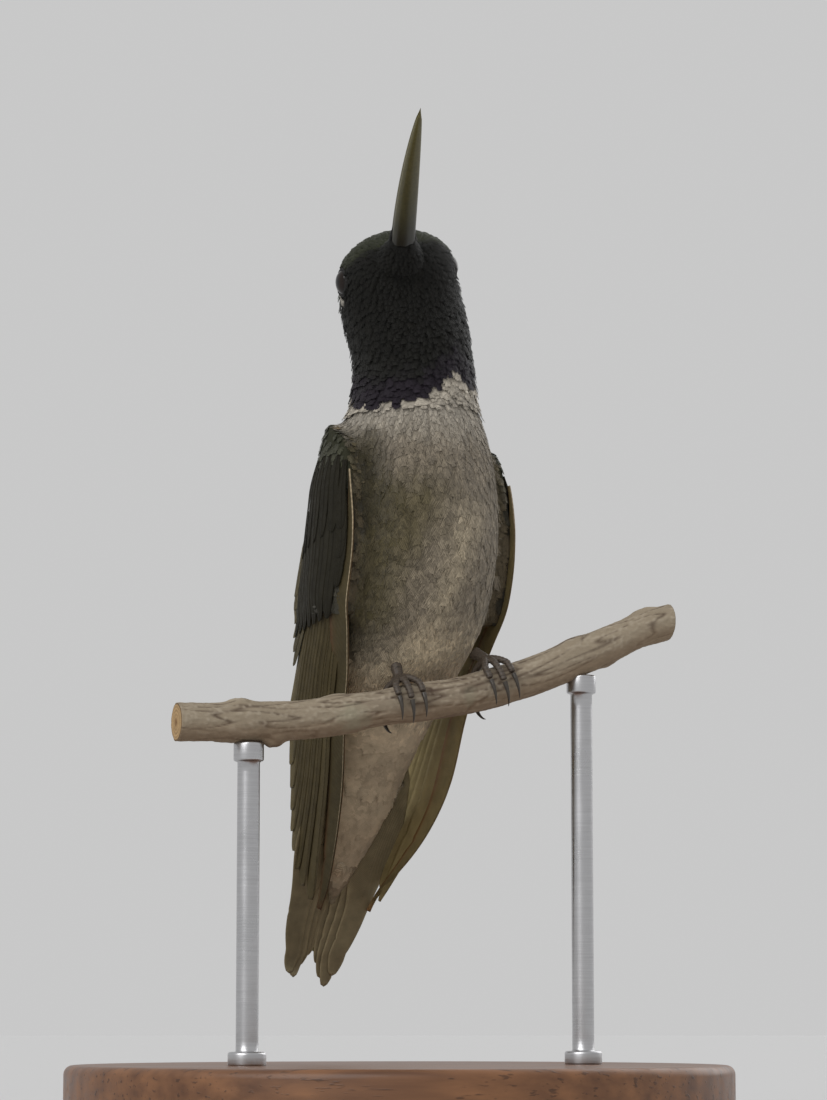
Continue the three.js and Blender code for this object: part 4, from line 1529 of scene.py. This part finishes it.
RECTRIX = paint(94, 87, 68)
CENTRAL = paint(72, 77, 50)  # the middle pair
TAIL_PAIRS = 5
TIP_PAST = 0.6  # how far their tips pass the solid's end


def tail_end(axes, sheet, share):
    """How far down a tail feather reaches, at a share of the way across the tail's end."""
    near, far = sheet.sides(0.9 * TAIL_LENGTH)
    return crossings(MESHES["tail"], axes, 0, mix(near, far, share))[:, 1].max() + TIP_PAST


def make_tail():
    """Ten tail feathers: the outer ones beneath, the green-bronze middle pair on top."""
    axes = Axes(TAIL.origin, TAIL.turn[1], TAIL.turn[0], TAIL.turn[2])
    sheet = Sheet(axes, ("tail",), 0.3, TAIL_LENGTH - 0.15, hold=0.86 * TAIL_LENGTH)
    plumes = []
    for pair, inward in enumerate(np.linspace(0.12, 0.46, TAIL_PAIRS)):
        colour = CENTRAL if pair == TAIL_PAIRS - 1 else RECTRIX
        # under: lower sides paler, from their own colour and painted light
        look = {"point": 1.6, "tilt": 0, "under": 2.1, "rim_colour": 2.2 * colour}
        if pair == 0:
            look["flare"] = 1.4
        for share in (inward, 1 - inward):
            widths = (1.3, 1.5) if share < 0.5 else (1.5, 1.3)
            levels = (1.0, tail_end(axes, sheet, share))
            over = 0.1 * pair - 0.5
            plumes.append(Plume(levels, (share, share), *widths, over, colour, **look))
    tail = long_feathers("tail_feathers", sheet, plumes, "tail_feathers")
    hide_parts("tail")


make_wings()
make_tail()

# ---------------------------------------------------------------- bill
BILL_AROUND = 40
BILL_START = 0.4  # where the bill's rings start, ahead of its root


def mandible(name):
    """A mandible's points, triangles and places: raised and along, each from 0 to 1.

    Its fine rings have a domed side with a blunt ridge and a flatter side at the gape.
    """
    upper = name == "bill_upper"
    end = HEAD.local(MESHES[name][0])[:, 0].max()
    share = np.linspace(0, 1, 2 * BILL_STATIONS)
    ahead = mix(BILL_START, end, 1 - (1 - share) ** 1.25)
    middle, half, low, high = (column[:, None] for column in bill_at(name, ahead))
    close = np.sqrt(np.clip((end - ahead) / 1.1, 0, 1))[:, None]
    turn = circle(BILL_AROUND)
    side, rise = np.cos(turn), np.sin(turn)
    if not upper:
        rise = -rise
    gape, back = (low, high) if upper else (high, low)
    domed = np.maximum(rise, 0) ** 0.85
    ridge = 0.07 * np.exp(-((side / 0.3) ** 2)) * (rise > 0) * smoothstep(15, 2, ahead)[:, None]
    groove = 0.1 * np.exp(-(((np.abs(side) - 0.72) / 0.12) ** 2)) * (rise > 0)
    groove = groove * smoothstep(8, 2, ahead)[:, None] if upper else 0 * ridge
    over = gape + (back - gape) * (domed + ridge - 0.12 * np.maximum(-rise, 0)) * close
    across = middle + half * np.sign(side) * np.abs(side) ** 0.9 * (1 - groove) * close
    rings = np.stack([ahead[:, None] + 0 * over, across, over], axis=-1)
    points, triangles = ring_mesh(HEAD.part(rings))
    along = np.concatenate([np.repeat(ahead, BILL_AROUND), [BILL_START, end]]) / end
    raised = np.concatenate([np.tile(domed, len(ahead)), [0, 0]])
    return points, triangles, np.stack([raised, along, 0 * along], axis=1)


def bill_material():
    """Horn: black, with painted light that makes it paler and yellower towards its tip and at its
    thin edges, as if lit through; streaked along.
    """
    shader = Shader("bill_horn", Roughness=0.34, Specular_IOR_Level=0.5, Coat_Weight=0.12)
    raised, along = shader.vane()
    streaks = shader.noise(700, 6, (1, 0.25, 0.25))
    # painted light: paler towards the tip and at the thin edges, as light shining through the horn
    tone = shader.math("ADD", along, shader.math("MULTIPLY", streaks, 0.35))
    edge = shader.math("SUBTRACT", 1.0, raised)
    tone = shader.math("ADD", tone, shader.math("MULTIPLY", edge, 0.3))
    pale = shader.between(tone, 0.25, 1.45)
    colour = shader.mixed(paint(38, 37, 20), paint(106, 98, 55), pale)
    colour = shader.mixed(BLACK, colour, shader.between(along, 0.04, 0.3))
    specks = shader.between(shader.noise(4000, 3), 0.35, 0.7, 0.8, 1.12)
    grain = shader.noise(2600, 6, (1, 0.3, 0.3))
    rough = shader.from_noise(streaks, 0.28, 0.46)
    return shader.finish(shader.shaded(colour, specks), grain, 0.00002, rough)


def make_bill():
    """Both mandibles, in horn, with their triangles facing out."""
    horn = bill_material()
    for name in BILL:
        points, triangles, place = mandible(name)
        outward = points[0] - points[:BILL_AROUND].mean(axis=0)
        if normals_of(points, triangles)[0] @ outward < 0:
            triangles = triangles[:, ::-1]
        bill = new_object(f"{name}_horn", points, triangles, horn, "bill", vane=place)
        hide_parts(name)


# ---------------------------------------------------------------- eyes
EYE_RADIUS = 1.58
CORNEA = 0.05  # how far the cornea bulges
EYE_RINGS, EYE_AROUND, LID_AROUND = 64, 64, 96
LID_BEADS = 26
LID_PROFILE = (  # how far outside the lids' opening, and how far out from the eye's middle
    (-0.07, 1.0),
    (-0.05, 1.12),
    (-0.01, 1.18),
    (0.05, 1.19),
    (0.12, 1.15),
    (0.2, 1.06),
    (0.29, 0.88),
    (0.36, 0.5),
)


def eye_axes(side, sign):
    """The eye's frame: x ahead and y up round the opening, z out of it."""
    out = unit(HEAD.along(np.array([0.15, sign, 0.05])))
    ahead = unit(HEAD.turn[0] - out * (HEAD.turn[0] @ out))
    return Axes(CENTRE[f"eye_{side}"], ahead, np.cross(out, ahead), out)


def eyeball(axes):
    """A globe whose cornea bulges a little; Vane holds degrees from its axis over 180."""
    angle = np.linspace(0.5, 179.5, EYE_RINGS)
    radius = EYE_RADIUS + CORNEA * smoothstep(48, 20, angle)
    turn = circle(EYE_AROUND)
    away = (radius * np.sin(np.radians(angle)))[:, None]
    along = (radius * np.cos(np.radians(angle)))[:, None]
    rings = np.stack([away * np.cos(turn), away * np.sin(turn), along + 0 * turn], axis=-1)
    points, triangles = ring_mesh(axes.part(rings))
    degrees = np.concatenate([np.repeat(angle, EYE_AROUND), [0, 180]]) / 180
    around = np.concatenate([np.tile(turn, EYE_RINGS), [0, 0]]) / (2 * math.pi)
    return points, triangles[:, ::-1], np.stack([degrees, around, 0 * around], axis=1)


def eyelids(axes):
    """Both lids as one beaded rim, a little longer than high, with a corner fore and aft."""
    turn = circle(LID_AROUND)
    opening = EYE_OPENING * (1 - 0.07 * np.sin(turn) ** 2 + 0.05 * np.cos(turn) ** 8)
    beads = 0.022 * np.sin(LID_BEADS * turn)
    rings = []
    for number, (away, along) in enumerate(LID_PROFILE):
        bump = beads * math.sin(math.pi * number / (len(LID_PROFILE) - 1))
        reach = opening + away + bump
        ring = np.stack([reach * np.cos(turn), reach * np.sin(turn), along + bump], axis=1)
        rings.append(axes.part(ring))
    points, triangles = ring_mesh(np.array(rings), close=False)
    return points, triangles[:, ::-1]


def eye_material():
    """Glass over a brown iris, with a black pupil and a dark rim."""
    shader = Shader("eye_glass", Roughness=0.08, Specular_IOR_Level=0.28)
    from_axis = shader.vane()[0]
    rays = shader.add("TexNoise", Vector=shader.attribute("Vane", "Vector"), Scale=60.0, Detail=4.0)
    iris = shader.mixed(paint(16, 11, 8), paint(34, 22, 15), rays.outputs[0])
    colour = shader.mixed(paint(5, 5, 6), iris, shader.between(from_axis, 0.1, 0.115))
    colour = shader.mixed(colour, paint(16, 12, 10), shader.between(from_axis, 0.2, 0.24))
    shader.set(shader.surface, {"Base Color": colour})
    return shader.material


def lid_material():
    """Bare dark skin."""
    shader = Shader("eyelid", Roughness=0.6, Specular_IOR_Level=0.3)
    grain = shader.noise(5000, 4)
    return shader.finish(shader.mixed(paint(14, 13, 12), paint(34, 32, 29), grain), grain, 0.00003)


def make_eyes():
    """The globes and their lids."""
    glass, rim = eye_material(), lid_material()
    for side, sign in SIDES.items():
        axes = eye_axes(side, sign)
        points, triangles, place = eyeball(axes)
        eye = new_object(f"eye_{side}_globe", points, triangles, glass, "eye", vane=place)
        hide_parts(f"eye_{side}")
        new_object(f"eye_{side}_lids", *eyelids(axes), rim, "leg_skin")


# ---------------------------------------------------------------- legs and claws
LEG_VOXEL, CLAW_VOXEL = 0.085, 0.045
SCUTE = 0.42  # each scale's length along the toe
SCUTE_LIFT = 0.035  # how far its edge stands out
# How far from the twig's middle line toes turn into shank.
TOES_END, SHANK_START = 3.4, 4.4


def twig_frame():
    """The twig's own frame: x along it, y to its back and z up, from between the feet."""
    points = MESHES["perch"][0]
    feet = (CENTRE["leg_left"] + CENTRE["leg_right"]) / 2
    along = np.linalg.svd(points - points.mean(axis=0), full_matrices=False)[2][0]
    along = unit(np.array([along[0], along[1], 0]) * np.sign(along[0]))
    middle = feet - UP * (feet[2] - CENTRE["perch"][2])
    return Axes(middle, along, np.cross(UP, along), UP)


TWIG = twig_frame()
TWIG_SECTIONS = 60
TWIG_MARGIN = 1.2  # how near its ends they are measured


def twig_line():
    """The twig's middle line and radius by place along it, in its own frame."""
    ends = TWIG.local(MESHES["perch"][0])[:, 0]
    places = np.linspace(ends.min() + TWIG_MARGIN, ends.max() - TWIG_MARGIN, TWIG_SECTIONS)
    rows = []
    for place in places:
        cut = crossings(MESHES["perch"], TWIG, 0, place)
        middle = (cut.min(axis=0) + cut.max(axis=0)) / 2
        rows.append((middle[1], middle[2], np.ptp(cut[:, 1]) / 2))
    rows = smoothed(np.array(rows), 5)
    return places, rows, (ends.min(), ends.max())


TWIG_PLACES, TWIG_ROWS, TWIG_ENDS = twig_line()


def twig_middle(along):
    """The middle line's place across and up, run straight on past its measured ends."""
    out = []
    for column in TWIG_ROWS[:, :2].T:
        inside = np.interp(along, TWIG_PLACES, column)
        slopes = np.gradient(column, TWIG_PLACES)
        before = np.minimum(along - TWIG_PLACES[0], 0) * slopes[1]
        after = np.maximum(along - TWIG_PLACES[-1], 0) * slopes[-2]
        out.append(inside + before + after)
    return out


def scutes(points, normals):
    """Points of a leg with the scales that cross its toes and shank raised, and their places.

    The scales follow each other round the twig on the toes, and away from it on the shank. Vane
    holds the share of the way over a scale.
    """
    local = TWIG.local(points)
    across, up = twig_middle(local[:, 0])
    gap = np.hypot(local[:, 1] - across, local[:, 2] - up)
    round_twig = np.arctan2(local[:, 2] - up, across - local[:, 1]) * gap
    run = mix(round_twig, gap, smoothstep(TOES_END, SHANK_START, gap))
    share = run / SCUTE % 1
    lift = SCUTE_LIFT * smoothstep(0, 0.35, share) * smoothstep(1, 0.8, share)
    return points + normals * lift[:, None], np.stack([share, gap / 10, 0 * gap], axis=1)


def leg_material():
    """Dusky scales, each dark where it comes out from under the one before."""
    shader = Shader("leg_scales", Roughness=0.5, Specular_IOR_Level=0.4)
    seam = shader.between(shader.vane()[0], 0.0, 0.3)
    grain = shader.noise(3500, 5)
    scale = shader.mixed(paint(56, 48, 41), paint(88, 77, 66), grain)
    colour = shader.mixed(paint(30, 26, 22), scale, seam)
    return shader.finish(colour, grain, 0.00002, shader.from_noise(grain, 0.42, 0.62))


def claw_material():
    """Dark horn, streaked along."""
    shader = Shader("claw_horn", Roughness=0.35, Specular_IOR_Level=0.5, Coat_Weight=0.2)
    streaks = shader.noise(2500, 5, (1, 1, 0.3))
    colour = shader.mixed(paint(28, 25, 22), paint(74, 66, 56), streaks)
    return shader.finish(colour, streaks, 0.00001, shader.from_noise(streaks, 0.28, 0.48))


def make_feet():
    """The scaled legs and toes, and the claws."""
    scales, horn = leg_material(), claw_material()
    for side in SIDES:
        points, triangles = remeshed([MESHES[f"leg_{side}"]], LEG_VOXEL, 4)
        points, place = scutes(points, normals_of(points, triangles))
        leg = new_object(f"leg_{side}_scaled", points, triangles, scales, "leg_skin", vane=place)
        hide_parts(f"leg_{side}")
        for toe in ("inner", "middle", "outer", "hind"):
            name = f"claw_{side}_{toe}"
            points, triangles = remeshed([MESHES[name]], CLAW_VOXEL, 4)
            claw = new_object(f"{name}_horn", points, triangles, horn, "claw")
            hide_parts(name)


# ---------------------------------------------------------------- twig
BARK_STEP = 0.085  # between rings of points along the twig
BARK_AROUND = 88
CUT_EDGE = 0.05  # how far the bark stops short of the sawn ends
FOOT_REACH = 7.5  # along the twig, how far the feet need its surface whole
KNOTS = (  # along, degrees round from its back over the top, radius, height
    (-16.2, 262, 1.1, 0.85),
    (-19.5, 95, 1.3, 0.5),
    (-10.6, 60, 1.5, 0.3),
    (12.4, 110, 1.5, 0.4),
    (16.5, 300, 1.2, 0.45),
    (19.8, 75, 1.4, 0.4),
)
BARK = paint(152, 141, 124)
BARK_DEEP = paint(84, 70, 60)
BARK_RIDGE = paint(172, 162, 146)
BARK_UNDER = paint(142, 122, 100)
SAPWOOD = paint(190, 160, 118)
PITH = paint(112, 82, 54)


def bark_relief(along, turn):
    """How far the bark stands in or out at places along and round the twig."""
    girth = TWIG_ROWS[:, 2].mean()
    ring = np.stack([np.cos(turn), np.sin(turn)], axis=-1) * girth
    flat = np.concatenate([along[:, None], ring], axis=1)
    lumps = mottle(flat * (0.35, 0.6, 0.6), 1.6, 3)
    ridges = mottle(flat * (0.22, 1, 1), 0.5, 4)
    flakes = mottle(flat * (0.7, 1, 1), 0.28, 5)
    cracks = -np.maximum(0.55 - np.abs(mottle(flat * (0.16, 1, 1), 0.8, 6)) * 4, 0)
    relief = 0.14 * lumps + 0.05 * ridges + 0.035 * flakes + 0.08 * cracks
    relief -= 0.1 * smoothstep(FOOT_REACH + 2, FOOT_REACH - 1, np.abs(along))
    for place, degrees, radius, height in KNOTS:
        off = np.angle(np.exp(1j * (turn - math.radians(degrees)))) * girth
        gap = np.hypot(along - place, off)
        relief += height * np.exp(-((gap / radius) ** 2) * 1.6)
        relief -= 0.35 * height * np.exp(-((gap / (0.3 * radius)) ** 2))
    return relief, cracks, ridges + flakes


def bark_colours(turn, relief, cracks, fine):
    """The bark's colour: dark in cracks and hollows, pale on ridges, browner underneath."""
    deep = np.clip(-1.4 * cracks + 0.25 * smoothstep(0, -0.2, relief), 0, 1)
    colours = blend(BARK + np.zeros((len(turn), 3)), BARK_DEEP, deep)
    colours = blend(colours, BARK_RIDGE, 0.7 * smoothstep(0.0, 0.8, fine))
    return blend(colours, BARK_UNDER, 0.6 * smoothstep(0.1, -0.7, np.sin(turn)))


def make_twig():
    """The cut length of twig, in bark, with its sawn ends."""
    count = int((TWIG_ENDS[1] - TWIG_ENDS[0]) / BARK_STEP)
    places = np.linspace(TWIG_ENDS[0] + CUT_EDGE, TWIG_ENDS[1] - CUT_EDGE, count)
    along, turn = np.repeat(places, BARK_AROUND), np.tile(circle(BARK_AROUND), count)
    relief, cracks, fine = bark_relief(along, turn)
    across, up = (np.repeat(column, BARK_AROUND) for column in twig_middle(places))
    radius = np.interp(along, TWIG_PLACES, TWIG_ROWS[:, 2]) + relief
    rings = np.stack([along, across + radius * np.cos(turn), up + radius * np.sin(turn)], axis=1)
    rings = rings.reshape(count, BARK_AROUND, 3)
    colours = bark_colours(turn, relief, cracks, fine).reshape(rings.shape)
    middles = np.stack([places, *twig_middle(places)], axis=1)
    (near, near_colours), (far, far_colours) = (cut_end(rings, middles, end) for end in (0, -1))
    rings = np.concatenate([near[::-1], rings, far])
    colours = np.concatenate([near_colours[::-1], colours, far_colours])
    points, triangles = ring_mesh(TWIG.part(rings))
    colours = np.concatenate([colours.reshape(-1, 3), [PITH, PITH]])
    twig = new_object("perch_bark", points, triangles[:, ::-1], bark_material(), "bark", colours)
    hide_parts("perch")


def cut_end(rings, middles, end):
    """The rings of a sawn end, from the bark to the pith, with growth rings in their colours."""
    made, paints = [], []
    for share in (0.97, 0.93, 0.88, 0.8, 0.7, 0.6, 0.5, 0.4, 0.3, 0.2, 0.1):
        inside_bark = share < 0.9
        ring = mix(middles[end], rings[end], share)
        sink = 0.03 * math.sin(40 * share)
        out = (1 if end else -1) * (CUT_EDGE * (share < 0.95) + sink * inside_bark)
        made.append(ring + (out, 0, 0))
        growth = mix(SAPWOOD, BARK_DEEP, 0.25 + 0.25 * math.sin(34 * share))
        wood = mix(PITH, growth, min(3 * share, 1))
        paints.append((wood if inside_bark else mix(BARK_DEEP, wood, 0.4)) + 0 * ring)
    return np.array(made), np.array(paints)


def bark_material():
    """Bark with a fine grain along it and a little grey-green lichen."""
    shader = Shader("bark", Roughness=0.9, Specular_IOR_Level=0.2)
    grain = shader.noise(2200, 8, (0.35, 0.35, 1))
    tint = shader.mixed((0.72, 0.68, 0.62), (1.12, 1.1, 1.08), grain)
    colour = shader.mixed(shader.marking(), tint, 1.0, "MULTIPLY")
    lichen = shader.between(shader.noise(260, 5), 0.6, 0.72, 0.0, 0.35)
    colour = shader.mixed(colour, paint(150, 150, 128), lichen)
    return shader.finish(colour, grain, 0.00012, shader.from_noise(grain, 0.78, 0.98))


# ---------------------------------------------------------------- stand
def lathed(middle, profile, around):
    """A solid turned about a vertical line from (radius, height) pairs."""
    turn = circle(around)
    rings = []
    for radius, height in profile:
        ring = np.stack([radius * np.cos(turn), radius * np.sin(turn), height + 0 * turn], 1)
        rings.append(ring + (middle[0], middle[1], 0))
    return ring_mesh(np.array(rings))


def rounded(radius, low, high, edge, steps=5):
    """A disc's profile from its underside's rim to its top's, with rounded edges."""
    angles = np.linspace(0, math.pi / 2, steps)
    under = [(radius - edge + edge * math.sin(a), low + edge - edge * math.cos(a)) for a in angles]
    over = [(radius - edge + edge * math.cos(a), high - edge + edge * math.sin(a)) for a in angles]
    return under + over


def wood_material():
    """Oiled walnut: long grain, dark pores and broad growth bands."""
    shader = Shader("walnut", Roughness=0.42, Specular_IOR_Level=0.4, Coat_Weight=0.08)
    warp = shader.noise(14, 3, (0.25, 1, 1))
    bands = shader.add("TexWave", {"bands_direction": "Y"}, Vector=shader.places((0.12, 1, 1)))
    shader.set(bands, {"Scale": 95.0, "Distortion": 9.0, "Detail": 4.0, "Detail Scale": 1.4})
    grain = shader.noise(900, 7, (0.06, 1, 1))
    tone = shader.math("MULTIPLY", bands.outputs[1], 0.16)
    tone = shader.math("ADD", tone, shader.math("MULTIPLY", grain, 0.75))
    tone = shader.math("ADD", tone, shader.math("MULTIPLY", warp, 0.25))
    tone = shader.between(tone, 0.3, 0.95)
    colour = shader.mixed(paint(74, 46, 30), paint(142, 98, 64), tone)
    pores = shader.between(shader.noise(2600, 2, (0.05, 1, 1)), 0.6, 0.68)
    colour = shader.mixed(colour, paint(46, 28, 18), shader.math("MULTIPLY", pores, 0.6))
    rough = shader.from_noise(grain, 0.36, 0.52)
    return shader.finish(colour, pores, 0.00003, rough, strength=0.5)


def steel_material():
    """Steel brushed round the rod."""
    shader = Shader("brushed_steel", Metallic=1.0, Roughness=0.3)
    brush = shader.noise(9000, 3, (0.04, 0.04, 1))
    colour = shader.mixed((0.42, 0.42, 0.43), (0.62, 0.62, 0.63), brush)
    rough = shader.from_noise(shader.noise(180, 3), 0.24, 0.4)
    return shader.finish(colour, brush, 0.000006, rough)


BASE_EDGE = 0.8  # how far its edges are rounded
BASE_AROUND, ROD_AROUND = 180, 48


def make_base():
    """The round base, in walnut."""
    points = MESHES["stand_base"][0]
    low, high = points.min(axis=0), points.max(axis=0)
    radius = (high[0] - low[0]) / 2
    profile = rounded(radius, low[2], high[2], BASE_EDGE, 7)
    profile += [(radius * share, high[2]) for share in np.linspace(0.94, 0.06, 12)]
    points, triangles = lathed((0, 0), profile, BASE_AROUND)
    base = new_object("stand_base_walnut", points, triangles, wood_material(), "stand_wood")
    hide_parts("stand_base")


FOOT_RADIUS, FOOT_TOP = 1.7, 1.1  # the lower collar's, in radii of the rod and over its foot
HEAD_RADIUS, HEAD_FOOT = 1.35, 1.8  # the upper one's, in radii and under the rod's top


def make_rod(name, steel):
    """A rod between a collar on the base and one under the twig."""
    points = MESHES[name][0]
    low, high = points.min(axis=0), points.max(axis=0)
    middle, radius = (low + high) / 2, (high[0] - low[0]) / 2
    foot_top, head_foot = low[2] + FOOT_TOP, high[2] - HEAD_FOOT
    profile = rounded(FOOT_RADIUS * radius, low[2] - 0.2, foot_top, 0.25)
    profile += [(radius + 0.05, foot_top)]
    profile += [(radius, height) for height in np.linspace(foot_top + 0.1, head_foot - 0.1, 30)]
    profile += rounded(HEAD_RADIUS * radius, head_foot, high[2] - 0.1, 0.2)
    points, triangles = lathed(middle, profile, ROD_AROUND)
    rod = new_object(f"{name}_steel", points, triangles, steel, "stand_metal")
    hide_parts(name)


def make_stand():
    """The base and both rods."""
    make_base()
    steel = steel_material()
    for name in ("stand_rod_low", "stand_rod_high"):
        make_rod(name, steel)


make_bill()
make_eyes()
make_feet()
make_twig()
make_stand()


# ---------------------------------------------------------------- stage
FLOOR_REACH = 2.0  # metres from the middle to the floor's edges
SUNS = (("key", (-300, -420, 380), 1.5), ("back", (330, 380, 300), 0.8))  # from where, how strong
SUN_ANGLE = math.radians(50)  # wide, for soft shadows
SKY_STRENGTH = 0.58
VIEW_HEIGHT = 101.75  # what the view takes in, from bottom to top, where it aims
CAMERA_AIM = np.array([1.25, 4.0, 53.1])
CAMERA_DISTANCE = 330.0
CAMERA_LIFT = math.radians(7.5)  # how far the view looks up
SENSOR = 36.0


def make_floor():
    """The pale floor, outside the model."""
    corners = FLOOR_REACH * np.array([[-1, -1, 0], [1, -1, 0], [1, 1, 0], [-1, 1, 0]])
    mesh = write_mesh("floor", corners, np.array([[0, 1, 2], [0, 2, 3]]))
    shader = Shader("floor", Roughness=0.9)
    shader.set(shader.surface, {"Base Color": (0.57, 0.57, 0.57, 1)})
    mesh.materials.append(shader.material)
    floor = bpy.data.objects.new("floor", mesh)
    bpy.context.scene.collection.objects.link(floor)


def make_light():
    """Soft white light from all round, and two wide suns."""
    world = bpy.data.worlds.new("studio")
    world.use_nodes = True
    sky = world.node_tree.nodes["Background"]
    sky.inputs["Color"].default_value = (1.0, 1.0, 1.0, 1)
    sky.inputs["Strength"].default_value = SKY_STRENGTH
    bpy.context.scene.world = world
    for name, place, strength in SUNS:
        light = bpy.data.lights.new(name, "SUN")
        light.angle = SUN_ANGLE
        light.energy = strength
        sun = bpy.data.objects.new(name, light)
        bpy.context.scene.collection.objects.link(sun)
        sun.location = Vector(place) * MM
        sun.rotation_euler = Vector(place).to_track_quat("Z", "Y").to_euler()


def make_camera():
    """The camera, in front of the bird and looking a little up at it."""
    lens = bpy.data.cameras.new("camera")
    lens.sensor_width = SENSOR
    lens.lens = SENSOR * CAMERA_DISTANCE / VIEW_HEIGHT
    lens.clip_start = 0.01
    camera = bpy.data.objects.new("camera", lens)
    bpy.context.scene.collection.objects.link(camera)
    view = Vector((0, math.cos(CAMERA_LIFT), math.sin(CAMERA_LIFT)))
    camera.location = (Vector(CAMERA_AIM) - view * CAMERA_DISTANCE) * MM
    camera.rotation_euler = view.to_track_quat("-Z", "Y").to_euler()
    bpy.context.scene.camera = camera
    bpy.context.scene.view_settings.view_transform = "Standard"


make_floor()
make_light()
make_camera()
